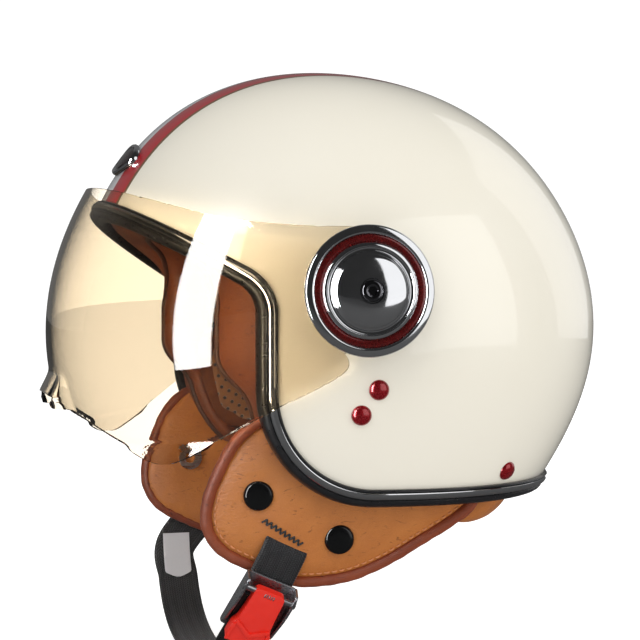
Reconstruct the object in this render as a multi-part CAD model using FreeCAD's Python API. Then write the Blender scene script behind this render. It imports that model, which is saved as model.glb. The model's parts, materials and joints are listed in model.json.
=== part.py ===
import FreeCAD, Part
import math
import os

from FreeCAD import Matrix, Placement, Rotation, Vector

# Open face motorcycle helmet, in millimetres.
# The face looks along -Y, the wearer's left is +X and up is +Z.
# The origin is the middle of the head opening, on the plane of the lower rim.

os.makedirs("parts", exist_ok=True)

# ---- Form of the shell ------------------------------------------------------
# Every side-to-side layer is the same egg form, grown or shrunk by an offset.
FORM_Y = 8.0
FORM_Z = 88.0
HALF_WIDTH = 121.0
FULLNESS = 2.15
# Radii of the middle outline, every 30 degrees from straight ahead, up and over.
PROFILE = [151.0, 148.0, 143.5, 132.5, 128.0, 126.5, 127.0, 125.0, 134.0, 152.0, 161.0, 159.0]

SHELL_WALL = 4.0
FOAM_OUTSIDE = -4.5
FOAM_INSIDE = -30.0
LINER_OUTSIDE = -30.4
LINER_INSIDE = -38.0
CHEEK_FACE_X = 64.0
MESH_THICK = 1.2

# ---- Rim of the shell, seen from the side -----------------------------------
BROW_Y, BROW_Z = -126.5, 144.9
BROW_SLOPE = math.radians(-30.7)
CHEEK_Y = -67.5
HEM_Z = 6.5
HEM_SLOPE = math.radians(-1.1)
TEMPLE_RADIUS = 16.0
JAW_RADIUS = 50.0

SHELL_EDGE = 2.0
TRIM_WIDTH = 8.5
TRIM_PROUD = 2.4
TRIM_LEG = -7.0
STRIP_START, STRIP_END = 3.2, 7.2
STRIP_REAR_Y = 98.0
FOAM_EDGE = 14.0
# The foam is moulded as a crown and two sides, which meet with a small gap.
FOAM_SPLIT_Z = 96.0
FOAM_GAP = 0.6

# ---- Visor and its pivots ---------------------------------------------------
PIVOT_Y, PIVOT_Z = -20.0, 111.0
VISOR_HALF_WIDTH = 127.0
VISOR_WALL = 2.4
VISOR_PROFILE = [130.5, 121.0, 121.0, 124.0, 128.0, 130.0, 130.0, 130.0, 135.0, 142.0, 146.0, 142.5]
VISOR_EAR = 30.0
LIP_HEIGHT = 6.5

CAP_RADIUS = 31.0
CAP_FOOT_X = 128.6
CAP_LEAN = 5.0
BUSH_RADIUS = 7.7
SCREW_RADIUS = 2.5

# ---- Chin strap -------------------------------------------------------------
STRAP_WIDTH = 22.5
STRAP_THICK = 1.8
RIVET_SPOTS = [(-12.0, 64.0), (-20.0, 52.0)]
REAR_RIVET = (61.5, 20.5)
STRAP_TOP = Vector(0, -18.0, 58.0)
STRAP_RUN = Vector(0, -0.407, -0.913).normalize()
BUCKLE = Vector(84.5, -63.2, -43.3)
BUCKLE_LEAN = math.radians(24)

# ---- Ear flaps --------------------------------------------------------------
FLAP_HALF_WIDTH = 99.0
FLAP_RADIUS = 240.0
FLAP_THICK = 11.0
FLAP_OUTLINE = [
    (-57, 48), (-74, 39), (-84, 20), (-88, 4), (-84, -11), (-69, -22), (-45, -31), (-22, -31),
    (7, -20), (32, -6), (44, 6), (42, 17), (0, 18), (-28, 24), (-47, 38),
]
SNAP_SPOTS = [(-64.0, 12.0), (-24.0, -10.5)]

FAR = 300.0


def save(name, shape):
    """Write one sub-part, as its own STEP file."""
    shape = shape.removeSplitter() if shape.ShapeType == "Compound" else shape
    solids = shape.Solids
    whole = solids[0] if len(solids) == 1 else Part.Compound(solids)
    whole.exportStep("parts/" + name + ".step")
    print(name, len(solids), round(sum(s.Volume for s in solids)), all(s.isValid() for s in solids))
    return whole


def mirrored(shape):
    """The same piece on the wearer's right."""
    return shape.mirror(Vector(0, 0, 0), Vector(1, 0, 0))


def save_pair(name, shape):
    save(name + "_left", shape)
    save(name + "_right", mirrored(shape))


def radius_at(table, angle):
    """Smooth closed curve of radii through the table's evenly spaced values."""
    count = len(table)
    total = 0.0
    for index, value in enumerate(table):
        gap = angle - 2 * math.pi * index / count
        weight = 1.0 + math.cos(count / 2 * gap)
        for harmonic in range(1, count // 2):
            weight += 2 * math.cos(harmonic * gap)
        total += value * weight / count
    return total


def egg(offset, table=PROFILE, half_width=HALF_WIDTH, cy=FORM_Y, cz=FORM_Z):
    """Solid egg form: its middle outline shrinks towards both sides."""
    half = half_width + offset
    stations = [0.0, 0.2, 0.38, 0.54, 0.67, 0.78, 0.865, 0.925, 0.965, 0.988, 0.998]
    wires = []
    for station in [-s for s in reversed(stations[1:])] + stations:
        scale = (1 - abs(station) ** FULLNESS) ** (1 / FULLNESS)
        points = []
        for step in range(30):
            angle = 2 * math.pi * step / 30
            reach = (radius_at(table, angle) + offset) * scale
            points.append(Vector(half * station, cy - reach * math.cos(angle), cz + reach * math.sin(angle)))
        curve = Part.BSplineCurve()
        curve.interpolate(Points=points, PeriodicFlag=True)
        wires.append(Part.Wire([curve.toShape()]))
    return Part.makeLoft(wires, True, False)


def egg_x(y, z, offset=0.0, table=PROFILE, half_width=HALF_WIDTH, cy=FORM_Y, cz=FORM_Z):
    """How far out the egg's side is at a point seen from the side."""
    angle = math.atan2(z - cz, cy - y)
    share = math.hypot(y - cy, z - cz) / (radius_at(table, angle) + offset)
    return (half_width + offset) * (1 - share ** FULLNESS) ** (1 / FULLNESS)


def egg_normal(y, z):
    """Outward direction of the left side of the shell at a point."""
    step = 0.5
    slope_y = (egg_x(y + step, z) - egg_x(y - step, z)) / (2 * step)
    slope_z = (egg_x(y, z + step) - egg_x(y, z - step)) / (2 * step)
    return Vector(1, -slope_y, -slope_z).normalize()


def rounded_edges(corners, radii):
    """Straight runs joined by tangent arcs; corners are (y, z), closed."""
    points = [Vector(0, y, z) for y, z in corners]
    count = len(points)
    edges = []
    last = None
    first = None
    for index in range(count):
        here = points[index]
        before = (points[index - 1] - here).normalize()
        after = (points[(index + 1) % count] - here).normalize()
        radius = radii[index]
        if radius:
            half = before.getAngle(after) / 2
            reach = radius / math.tan(half)
            start = here + before * reach
            end = here + after * reach
            middle_way = (before + after).normalize()
            middle = here + middle_way * (radius / math.sin(half) - radius)
            arc = Part.Arc(start, middle, end).toShape()
        else:
            start = end = here
            arc = None
        if last is not None:
            edges.append(Part.makeLine(last, start))
        else:
            first = start
        if arc:
            edges.append(arc)
        last = end
    edges.append(Part.makeLine(last, first))
    return edges


def side_prism(edges, x_from=-FAR, x_to=FAR):
    """Extrude a closed side view across the helmet."""
    face = Part.Face(Part.Wire(edges))
    face.translate(Vector(x_from, 0, 0))
    return face.extrude(Vector(x_to - x_from, 0, 0))


def side_spline(points, x_from, x_to):
    """Prism of a smooth closed side outline."""
    curve = Part.BSplineCurve()
    curve.interpolate(Points=[Vector(0, y, z) for y, z in points], PeriodicFlag=True)
    return side_prism([curve.toShape()], x_from, x_to)


def open_side(depth):
    """Everything in front of and below the rim, moved into the shell by depth."""
    brow = (math.cos(BROW_SLOPE), math.sin(BROW_SLOPE))
    brow_y = BROW_Y - brow[1] * depth
    brow_z = BROW_Z + brow[0] * depth
    cheek_y = CHEEK_Y + depth
    front_y = -200.0
    rear_y = 200.0
    front = (front_y, brow_z + (front_y - brow_y) * math.tan(BROW_SLOPE))
    temple = (cheek_y, brow_z + (cheek_y - brow_y) * math.tan(BROW_SLOPE))
    jaw = (cheek_y, HEM_Z + depth + cheek_y * math.tan(HEM_SLOPE))
    rear = (rear_y, HEM_Z + depth + rear_y * math.tan(HEM_SLOPE))
    corners = [front, temple, jaw, rear, (rear_y, -FAR), (front_y, -FAR)]
    return side_prism(rounded_edges(corners, [0, TEMPLE_RADIUS + depth, JAW_RADIUS - depth, 0, 0, 0]))


def moved(shape, place):
    """The shape carried to a placement, with its flat and round faces kept as they are."""
    result = shape.copy()
    result.Placement = place.multiply(result.Placement)
    return result


def lathe(profile, place):
    """Revolve (radius, height) points about Z, then move the piece into place."""
    points = [Vector(r, 0, h) for r, h in profile]
    face = Part.Face(Part.makePolygon(points + [points[0]]))
    return moved(face.revolve(Vector(0, 0, 0), Vector(0, 0, 1), 360).Solids[0], place)


def tube(inner, outer, x_from, x_to, y=PIVOT_Y, z=PIVOT_Z):
    """Round piece about an axis along X."""
    base = Vector(x_from, y, z)
    solid = Part.makeCylinder(outer, x_to - x_from, base, Vector(1, 0, 0))
    if inner:
        solid = solid.cut(Part.makeCylinder(inner, x_to - x_from, base, Vector(1, 0, 0)))
    return solid


def facing(point, normal):
    """Placement that turns the lathe's Z to a surface normal."""
    return Placement(point, Rotation(Vector(0, 0, 1), normal))


def dome_profile(radius, rise, foot):
    """Rivet or snap head: a low dome above a short foot."""
    profile = [(0.0, -foot), (radius, -foot), (radius, rise * 0.25)]
    for step in range(1, 6):
        angle = math.radians(90 * step / 6)
        profile.append((radius * math.cos(angle), rise * (0.25 + 0.75 * math.sin(angle))))
    return profile + [(0.0, rise)]


def on_shell(y, z, offset=0.0):
    return Vector(egg_x(y, z) + offset, y, z)


# ---- Shared forms -----------------------------------------------------------
outer_form = egg(0.0)
clear_form = egg(0.15)
shell_inner = egg(-SHELL_WALL)
trim_outer = egg(TRIM_PROUD)
trim_inner = egg(TRIM_LEG)
foam_outer = egg(FOAM_OUTSIDE)
foam_inner = egg(FOAM_INSIDE)
liner_outer = egg(LINER_OUTSIDE)
liner_inner = egg(LINER_INSIDE)
rim_band = open_side(TRIM_WIDTH).cut(open_side(0.0))


# ---- Chin strap frame: run (down), across (front to rear), out ---------------
strap_across = Vector(0, 0.913, -0.407).normalize()


def strap_point(x, run, across):
    return Vector(x, 0, 0) + STRAP_TOP + STRAP_RUN * run + strap_across * across


def ribbon(path, thick, start, step):
    """Band of even thickness along a flat path, pushed across by one width."""
    left = []
    right = []
    for index, here in enumerate(path):
        before = path[max(index - 1, 0)]
        after = path[min(index + 1, len(path) - 1)]
        way = (after[0] - before[0], after[1] - before[1])
        size = math.hypot(*way)
        side = (way[1] / size * thick / 2, -way[0] / size * thick / 2)
        left.append(start(here[0] + side[0], here[1] + side[1]))
        right.append(start(here[0] - side[0], here[1] - side[1]))
    outline = left + right[::-1]
    return Part.Face(Part.makePolygon(outline + [outline[0]])).extrude(step)


def strap_band(path, thick, width):
    return ribbon(path, thick, lambda x, run: strap_point(x, run, -width / 2), strap_across * width)


# Points (outwards, down the run) of the strap from its anchor to the buckle.
STRAP_PATH = [
    (107.8, 15), (106.4, 22), (94.8, 44), (89.2, 55), (87.4, 66), (87.6, 74), (89.6, 81), (87.2, 94),
    (86.9, 99),
]
ANCHOR_X = 110.4


# ---- Shell, foam, trim ------------------------------------------------------
def outer_shell():
    shell = outer_form.cut(shell_inner).cut(open_side(SHELL_EDGE))
    for side in (1, -1):
        for y, z in [(PIVOT_Y, PIVOT_Z)] + RIVET_SPOTS + [REAR_RIVET]:
            bore = 5.0 if (y, z) == (PIVOT_Y, PIVOT_Z) else 2.2
            axis = Vector(1, 0, 0) if bore > 3 or (y, z) in RIVET_SPOTS else egg_normal(y, z)
            start = on_shell(y, z) - axis * 14
            hole = Part.makeCylinder(bore, 24, start, axis)
            shell = shell.cut(hole if side > 0 else mirrored(hole))
    return shell


def edge_trim():
    trim = trim_outer.cut(trim_inner).common(rim_band)
    trim = trim.cut(outer_form.cut(shell_inner).cut(open_side(SHELL_EDGE)))
    return trim.cut(strip_form())


def strip_form():
    strip = egg(TRIM_PROUD + 0.6).cut(egg(1.0))
    strip = strip.common(open_side(STRIP_END).cut(open_side(STRIP_START)))
    return strip.common(Part.makeBox(2 * FAR, FAR + STRIP_REAR_Y, 2 * FAR, Vector(-FAR, -FAR, -FAR)))


NUT_ROOM_RADIUS = 10.0
RIVET_ROOM_RADIUS = 4.6
REAR_ROOM_RADIUS = 6.0
POCKET_PATH = [(108, -26), (106, 30), (93, 54)]
POCKET_DEEP = 13.0


def foam():
    """Whole bead foam liner, with room for the strap tabs, the pivot nuts and the rivets' feet."""
    liner = foam_outer.cut(foam_inner).cut(open_side(FOAM_EDGE))
    pocket = strap_band(POCKET_PATH, POCKET_DEEP, STRAP_WIDTH + 5)
    nut_room = tube(0, NUT_ROOM_RADIUS, 100, 118)
    rear_way = egg_normal(*REAR_RIVET)
    rear_room = Part.makeCylinder(REAR_ROOM_RADIUS, 30, on_shell(*REAR_RIVET) - rear_way * 26, rear_way)
    rivet_rooms = [tube(0, RIVET_ROOM_RADIUS, 100, 120, y, z) for y, z in RIVET_SPOTS]
    for room in [pocket, nut_room, rear_room] + rivet_rooms:
        liner = liner.cut(room).cut(mirrored(room))
    return liner


def foam_crown(liner):
    return liner.cut(Part.makeBox(2 * FAR, 2 * FAR, FAR, Vector(-FAR, -FAR, FOAM_SPLIT_Z - FAR)))


def foam_side(liner):
    """Left half of the foam below the crown."""
    top = FOAM_SPLIT_Z - FOAM_GAP
    return liner.common(Part.makeBox(FAR, 2 * FAR, FAR, Vector(FOAM_GAP / 2, -FAR, top - FAR)))


# ---- Comfort lining ---------------------------------------------------------
def crown_pad():
    pad = liner_outer.cut(liner_inner)
    pad = pad.cut(open_side(36.0))
    return pad.cut(Part.makeBox(2 * FAR, 2 * FAR, FAR, Vector(-FAR, -FAR, 92.0 - FAR)))


def brow_band():
    front = Part.makeBox(2 * FAR, FAR - 58, FAR, Vector(-FAR, -FAR, 118.0))
    lip = egg(-7.4).cut(liner_inner).common(open_side(13.6).cut(open_side(3.0)))
    back = liner_outer.cut(liner_inner).common(open_side(35.0).cut(open_side(13.6)))
    return lip.fuse(back).common(front)


def neck_roll():
    """Padded roll along the rear hem, just inside the shell."""
    roll = egg(-8.0).cut(egg(-26.0))
    room = Part.makeBox(2 * FAR, FAR, 24.5, Vector(-FAR, 52.0, -7.0))
    return roll.common(room)


CHEEK_OUTLINE = [(-60, 84), (-60, 40), (-34, 27), (44, 27), (44, 84)]


def cheek_pad():
    """Fills the space between the foam and the cheek, flat towards the face."""
    side = side_prism(rounded_edges(CHEEK_OUTLINE, [10, 12, 10, 10, 10]), CHEEK_FACE_X, FAR)
    return liner_outer.common(side)


def cheek_mesh():
    """Perforated panel on the face side of the cheek pad."""
    corners = [(-54, 76), (-54, 42), (-32, 33), (0, 33), (0, 76)]
    face_x = CHEEK_FACE_X - 0.3
    return side_prism(rounded_edges(corners, [8, 8, 6, 8, 8]), face_x - MESH_THICK, face_x)


def flap_sheet(inner, outer, edges):
    """Part of the gently curved sheet that the ear flap is cut from."""
    table = [FLAP_RADIUS] * 12
    shell = egg(outer, table, FLAP_HALF_WIDTH).cut(egg(inner, table, FLAP_HALF_WIDTH))
    return shell.common(edges)


def grown(outline, distance):
    """Outline moved outwards from its middle by about the distance."""
    mid_y = sum(p[0] for p in outline) / len(outline)
    mid_z = sum(p[1] for p in outline) / len(outline)
    moved = []
    for y, z in outline:
        size = math.hypot(y - mid_y, z - mid_z)
        moved.append((y + (y - mid_y) / size * distance, z + (z - mid_z) / size * distance))
    return moved


def clear_of_rim(piece):
    """Take away what the shell, its trim and the foam fill."""
    wall = egg(TRIM_PROUD + 1).cut(egg(TRIM_LEG - 0.4)).cut(open_side(-0.4))
    foam_room = egg(-SHELL_WALL).cut(egg(FOAM_INSIDE - 0.4)).cut(open_side(FOAM_EDGE - 0.5))
    return piece.cut(wall).cut(foam_room)


def biggest(shape):
    return max(shape.Solids, key=lambda solid: solid.Volume)


def ear_flap():
    body = side_spline(grown(FLAP_OUTLINE, -3.2), 40, FAR)
    flap = clear_of_rim(flap_sheet(-FLAP_THICK, 0, body))
    flap = biggest(flap.cut(strap_band(STRAP_PATH, 3.0, STRAP_WIDTH + 1.6)))
    for y, z in SNAP_SPOTS:
        flap = flap.cut(tube(0, 3.2, 60, 120, y, z))
    return flap


def flap_piping():
    """Rolled leather binding round the edge of the flap."""
    piping = flap_sheet(-FLAP_THICK + 1.5, 0.6, side_spline(FLAP_OUTLINE, 40, FAR))
    piping = clear_of_rim(piping.cut(side_spline(grown(FLAP_OUTLINE, -3.0), 40, FAR)))
    return biggest(piping.cut(strap_band(STRAP_PATH, 3.0, STRAP_WIDTH + 1.6)))


def flap_x(y, z):
    return egg_x(y, z, 0.0, [FLAP_RADIUS] * 12, FLAP_HALF_WIDTH)


def snap_caps():
    """Dark snap heads with their posts."""
    heads = []
    for y, z in SNAP_SPOTS:
        x = flap_x(y, z) + 0.9
        head = lathe(dome_profile(7.2, 3.0, 1.5), facing(Vector(x, y, z), Vector(1, 0, 0)))
        head = head.cut(egg(0.1, [FLAP_RADIUS] * 12, FLAP_HALF_WIDTH))
        heads.append(head.fuse(tube(0, 2.8, x - 9, x + 1, y, z)))
    return Part.Compound(heads)


def snap_sockets():
    sockets = []
    for y, z in SNAP_SPOTS:
        x = flap_x(y, z) - FLAP_THICK - 2.6
        sockets.append(tube(3.0, 6.5, x - 1.6, x + 1.0, y, z))
    return Part.Compound(sockets)


# ---- Fasteners --------------------------------------------------------------
def strap_rivets():
    rivets = []
    for y, z in RIVET_SPOTS:
        x = egg_x(y, z)
        head = lathe(dome_profile(5.0, 2.8, 0.8), facing(Vector(x + 0.5, y, z), Vector(1, 0, 0)))
        head = head.cut(clear_form)
        shank = tube(0, 2.0, ANCHOR_X - 2.6, x + 1.0, y, z)
        foot = tube(0, 3.6, ANCHOR_X - 3.2, ANCHOR_X - 1.9, y, z)
        rivets.append(head.fuse(shank).fuse(foot))
    return Part.Compound(rivets)


def rear_rivet():
    normal = egg_normal(*REAR_RIVET)
    point = on_shell(*REAR_RIVET)
    head = lathe(dome_profile(5.0, 2.8, 0.8), facing(point + normal * 0.5, normal)).cut(clear_form)
    shank = Part.makeCylinder(2.0, 7.0, point - normal * 6.5, normal)
    foot = Part.makeCylinder(4.0, 1.4, point - normal * 6.6, normal)
    return head.fuse(shank).fuse(foot)


def strap_anchor():
    """Steel tab inside the shell that the strap is sewn round."""
    corners = [(-11, -20), (11, -20), (11, 14), (-11, 14)]
    points = [strap_point(ANCHOR_X, run, across) for across, run in corners]
    plate = Part.Face(Part.makePolygon(points + [points[0]])).extrude(Vector(-1.6, 0, 0))
    plate = plate.common(egg(-SHELL_WALL - 0.2))
    for y, z in RIVET_SPOTS:
        plate = plate.cut(tube(0, 2.2, 90, 120, y, z))
    return plate


# ---- Visor ------------------------------------------------------------------
VISOR_TOP = [(-50.0, 141.6), (-76.0, 144.0), (-92.0, 147.5), (-110.0, 153.3), (-135.0, 162.5)]
VISOR_HEM = [
    (-152.0, 60.0), (-147.0, 52.0), (-136.0, 43.0), (-121.0, 34.0), (-107.0, 30.5),
    (-97.0, 33.5), (-84.0, 41.0), (-60.0, 56.0), (-30.0, 73.0),
]


def visor_egg(offset):
    return egg(offset, VISOR_PROFILE, VISOR_HALF_WIDTH, PIVOT_Y, PIVOT_Z)


def visor_side(drop=0.0):
    """Side view of the visor: round ears at the pivot, then the wide bubble."""
    top = Part.BSplineCurve()
    top.interpolate([Vector(0, PIVOT_Y, PIVOT_Z + VISOR_EAR)] + [Vector(0, y, z) for y, z in VISOR_TOP])
    hem = Part.BSplineCurve()
    foot = math.radians(-68)
    low = Vector(0, PIVOT_Y - VISOR_EAR * math.cos(foot), PIVOT_Z + VISOR_EAR * math.sin(foot))
    hem.interpolate([Vector(0, y, z) for y, z in VISOR_HEM] + [low])
    back = Vector(0, PIVOT_Y + VISOR_EAR, PIVOT_Z)
    ear = Part.Arc(low, back, Vector(0, PIVOT_Y, PIVOT_Z + VISOR_EAR)).toShape()
    front_top = Vector(0, *VISOR_TOP[-1])
    front_low = Vector(0, *VISOR_HEM[0])
    ahead = [front_top, Vector(0, -190, front_top.z + 20), Vector(0, -190, front_low.z + 10), front_low]
    edges = [top.toShape()] + [Part.makeLine(a, b) for a, b in zip(ahead, ahead[1:])] + [hem.toShape(), ear]
    edges = Part.__sortEdges__(edges)
    prism = side_prism(edges)
    prism.translate(Vector(0, 0, drop))
    return prism


def visor_lens():
    side = visor_side()
    lens = visor_egg(0.0).cut(visor_egg(-VISOR_WALL)).common(side)
    hem = side.cut(visor_side(2.6))
    lips = visor_egg(LIP_HEIGHT).cut(visor_egg(-VISOR_WALL)).common(hem)
    lobe_room = Part.makeBox(2 * FAR, 32, 30, Vector(-FAR, -120, 26))
    nose_room = Part.makeBox(46, 40, 40, Vector(-23, -170, 40))
    lens = lens.fuse(lips.common(lobe_room)).fuse(lips.common(nose_room))
    for side_sign in (1, -1):
        hole = tube(0, BUSH_RADIUS + 0.3, 100, 140)
        lens = lens.cut(hole if side_sign > 0 else mirrored(hole))
    return lens


# ---- Pivot hardware ---------------------------------------------------------
BASE_TOP_X = 122.0
BASE_RADIUS = 24.0


def pivot_base():
    base = tube(SCREW_RADIUS + 0.3, BASE_RADIUS, 108, BASE_TOP_X)
    return base.cut(clear_form)


def pivot_bush():
    return tube(SCREW_RADIUS + 0.3, BUSH_RADIUS, BASE_TOP_X, CAP_FOOT_X - 0.9)


def friction_washer():
    return tube(BUSH_RADIUS + 0.6, 19.0, 127.4, 128.4)


def cap_place():
    tilt = math.sin(math.radians(CAP_LEAN))
    return facing(Vector(CAP_FOOT_X, PIVOT_Y, PIVOT_Z), Vector(1, -0.85 * tilt, 0.5 * tilt).normalize())


def pivot_cap():
    """Chromed cover: flat rim, groove, stepped rings and a low dome."""
    profile = [
        (3.4, 2.6), (26.4, 2.6), (28.2, 0.4), (30.2, 0.4), (31.0, 1.2), (31.0, 3.6), (30.4, 4.2),
        (27.2, 4.6), (26.6, 3.6), (22.6, 3.6), (22.2, 5.2), (20.6, 5.6), (20.2, 5.0), (18.6, 5.0),
        (18.2, 5.9), (17.2, 6.2),
    ]
    dome = [(17.2 * math.cos(a), 6.2 + 3.0 * math.sin(a)) for a in (0.3, 0.6, 0.9, 1.15)]
    seat = [(6.2, 9.0), (6.2, 7.0), (3.4, 7.0)]
    return lathe(profile + dome + seat, cap_place())


def accent_ring():
    profile = [(22.9, 3.62), (26.3, 3.62), (26.3, 4.1), (25.6, 4.5), (23.6, 4.5), (22.9, 4.1)]
    return lathe(profile, cap_place())


def pivot_screw():
    head = tube(0, 5.2, 136.4, 138.9)
    head = head.cut(Part.makeCylinder(2.2, 1.9, Vector(137.2, PIVOT_Y, PIVOT_Z), Vector(1, 0, 0)))
    return head.fuse(tube(0, SCREW_RADIUS, 107.0, 136.6))


def insert_nut():
    return tube(SCREW_RADIUS, 4.8, 105.0, 117.0).fuse(tube(SCREW_RADIUS, 9.0, 104.0, 105.4))


# ---- Front medallion --------------------------------------------------------
BADGE_Y, BADGE_Z = -111.0, 174.5
BADGE_LONG, BADGE_TALL = 19.0, 9.5


def badge_prism(grow, depth_from, depth_to):
    """Oval slug standing off the forehead along the surface normal."""
    slope = math.atan2(BADGE_Z - FORM_Z, FORM_Y - BADGE_Y) + math.radians(4)
    normal = Vector(0, -math.cos(slope), math.sin(slope))
    up = Vector(0, math.sin(slope), math.cos(slope))
    centre = Vector(0, BADGE_Y, BADGE_Z)
    oval = Part.Ellipse(centre + Vector(BADGE_LONG + grow, 0, 0), centre + up * (BADGE_TALL + grow), centre)
    face = Part.Face(Part.Wire([oval.toShape()]))
    face.translate(normal * depth_from)
    return face.extrude(normal * (depth_to - depth_from))


def badge_rim():
    rim = badge_prism(0, -12, 12).cut(badge_prism(-2.4, -12, 12))
    return rim.common(egg(3.2)).cut(clear_form)


def badge_face():
    return badge_prism(-2.6, -12, 12).common(egg(2.4)).cut(clear_form)


# ---- Strap, buckle and keeper -----------------------------------------------
def strap_left():
    return strap_band(STRAP_PATH, STRAP_THICK, STRAP_WIDTH)


buckle_run = (STRAP_RUN * math.cos(BUCKLE_LEAN) - Vector(1, 0, 0) * math.sin(BUCKLE_LEAN)).normalize()
buckle_out = (STRAP_RUN * math.sin(BUCKLE_LEAN) + Vector(1, 0, 0) * math.cos(BUCKLE_LEAN)).normalize()


def buckle_frame_matrix():
    """Local x is down the strap, y is front to rear, z is outwards."""
    x, y, z = buckle_run, strap_across, buckle_out
    return Matrix(x.x, y.x, z.x, BUCKLE.x, x.y, y.y, z.y, BUCKLE.y, x.z, y.z, z.z, BUCKLE.z, 0, 0, 0, 1)


def in_buckle(shape):
    return moved(shape, Placement(buckle_frame_matrix()))


def block(run, across, out):
    """Box in the buckle's own axes from three (low, high) pairs."""
    size = [run[1] - run[0], across[1] - across[0], out[1] - out[0]]
    return Part.makeBox(*size, Vector(run[0], across[0], out[0]))


LEVER_PIN_RUN, LEVER_PIN_OUT = -12.0, 6.6
HOUSING_HALF = 13.4
PIN_RADIUS = 1.5
LEVER_PIN_PLAY = 0.05
LEVER_LOW, LEVER_HIGH = 3.9, 9.5
LEVER_OUTLINE = [
    (-12, -8.4), (5, -8.8), (8, -10.4), (15, -10.4), (16, -9), (16, 9), (15, 10.4), (8, 10.4), (5, 8.8), (-12, 8.4),
]
CHEVRON = [(5, -8), (9.5, 0), (5, 8), (7.4, 8), (12, 0), (7.4, -8)]


def pin_rod(radius, half):
    """Rod about the lever's pin axis, in the buckle's own axes."""
    return Part.makeCylinder(radius, 2 * half, Vector(LEVER_PIN_RUN, -half, LEVER_PIN_OUT), Vector(0, 1, 0))


def flat_plate(outline, low, high):
    """Plate from a (run, across) outline, in the buckle's own axes."""
    points = [Vector(run, across, low) for run, across in outline]
    return Part.Face(Part.makePolygon(points + [points[0]])).extrude(Vector(0, 0, high - low))


def buckle_frame():
    """Steel base with two cheeks that hold the lever's pin."""
    frame = block((-17, 15), (-HOUSING_HALF, HOUSING_HALF), (-1.6, 0))
    for side in (1, -1):
        across = (HOUSING_HALF - 1.3, HOUSING_HALF) if side > 0 else (-HOUSING_HALF, -HOUSING_HALF + 1.3)
        frame = frame.fuse(block((-17, 13), across, (-1.6, 8.4)))
    return in_buckle(frame.cut(pin_rod(PIN_RADIUS, 20)))


def lever_pin():
    return in_buckle(pin_rod(PIN_RADIUS, HOUSING_HALF + 0.5))


def release_lever():
    """Pull lever, wider at its free end, with a raised chevron."""
    lever = flat_plate(LEVER_OUTLINE, LEVER_LOW, LEVER_HIGH).fuse(pin_rod(2.9, 8.4))
    lever = lever.fuse(flat_plate(CHEVRON, LEVER_HIGH - 0.1, LEVER_HIGH + 0.8))
    lever = lever.cut(pin_rod(PIN_RADIUS + LEVER_PIN_PLAY, 20))
    lever = lever.cut(block((-17, -8.6), (-3.2, 3.2), (3, 12)))
    return in_buckle(lever)


def lever_spring():
    return in_buckle(pin_rod(2.4, 2.8).cut(pin_rod(1.6, 2.8)))


def ratchet_tongue():
    """Toothed plastic tongue that the lever's pawl holds."""
    tongue = block((-6, 24), (-10.5, 10.5), (0.35, 2.2))
    for tooth in range(6):
        run = -4.5 + 2.6 * tooth
        wedge = [Vector(run, -6, 2.2), Vector(run + 2.0, -6, 2.2), Vector(run + 2.0, -6, 3.3)]
        tongue = tongue.fuse(Part.Face(Part.makePolygon(wedge + [wedge[0]])).extrude(Vector(0, 12, 0)))
    return in_buckle(tongue)


LOOP_Y = -70.6
LOOP_PATH = [
    (73.0, -63.5), (64.0, -71.0), (48.0, -78.0), (22.0, -82.0), (-18.0, -82.0), (-46.0, -78.0),
    (-66.0, -69.0), (-79.0, -55.0), (-85.5, -38.0), (-88.0, -26.0),
]


def strap_right():
    """Strap of the other side: it hangs from the right flap and passes under the chin."""
    upper = mirrored(strap_band(STRAP_PATH[:-1], STRAP_THICK, STRAP_WIDTH))
    start = LOOP_Y - STRAP_WIDTH / 2
    lower = ribbon(LOOP_PATH, STRAP_THICK, lambda x, z: Vector(x, start, z), Vector(0, STRAP_WIDTH, 0))
    return upper.fuse(lower)


KEEPER_X, KEEPER_Z, KEEPER_TURN = 35.0, -80.0, -8.7
KEEPER_LONG, KEEPER_TALL = 9.0, 7.0
KEEPER_WALL = 2.1
KEEPER_PLAY = 0.4


def centred_box(long, wide, tall):
    return Part.makeBox(long, wide, tall, Vector(-long / 2, -wide / 2, -tall / 2))


def strap_keeper():
    """Plastic keeper round the strap, near the tongue."""
    slot = STRAP_WIDTH + 2 * KEEPER_PLAY
    keeper = centred_box(KEEPER_LONG, slot + 2 * KEEPER_WALL, KEEPER_TALL)
    keeper = keeper.cut(centred_box(KEEPER_LONG, slot, STRAP_THICK + 2 * KEEPER_PLAY))
    return moved(keeper, Placement(Vector(KEEPER_X, LOOP_Y, KEEPER_Z), Rotation(Vector(0, 1, 0), KEEPER_TURN)))


def bar_tack():
    """Zigzag stitching that holds the strap in the flap."""
    start = strap_point(96, 66, -STRAP_WIDTH / 2)
    plate = Part.Face(Part.makePolygon([
        start, start + STRAP_RUN * 3.2, start + STRAP_RUN * 3.2 + strap_across * STRAP_WIDTH,
        start + strap_across * STRAP_WIDTH, start,
    ])).extrude(Vector(-12, 0, 0))
    table = [FLAP_RADIUS] * 12
    return plate.common(egg(0.7, table, FLAP_HALF_WIDTH)).cut(egg(0.05, table, FLAP_HALF_WIDTH))


LABEL_PATH = [(-77.6, -54.0), (-84.0, -38.0)]
LABEL_WIDTH, LABEL_THICK = 18.0, 0.5


def strap_label():
    """Blank sewn label on the inner face of the right strap."""
    start = LOOP_Y - LABEL_WIDTH / 2
    return ribbon(LABEL_PATH, LABEL_THICK, lambda x, z: Vector(x, start, z), Vector(0, LABEL_WIDTH, 0))


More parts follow.
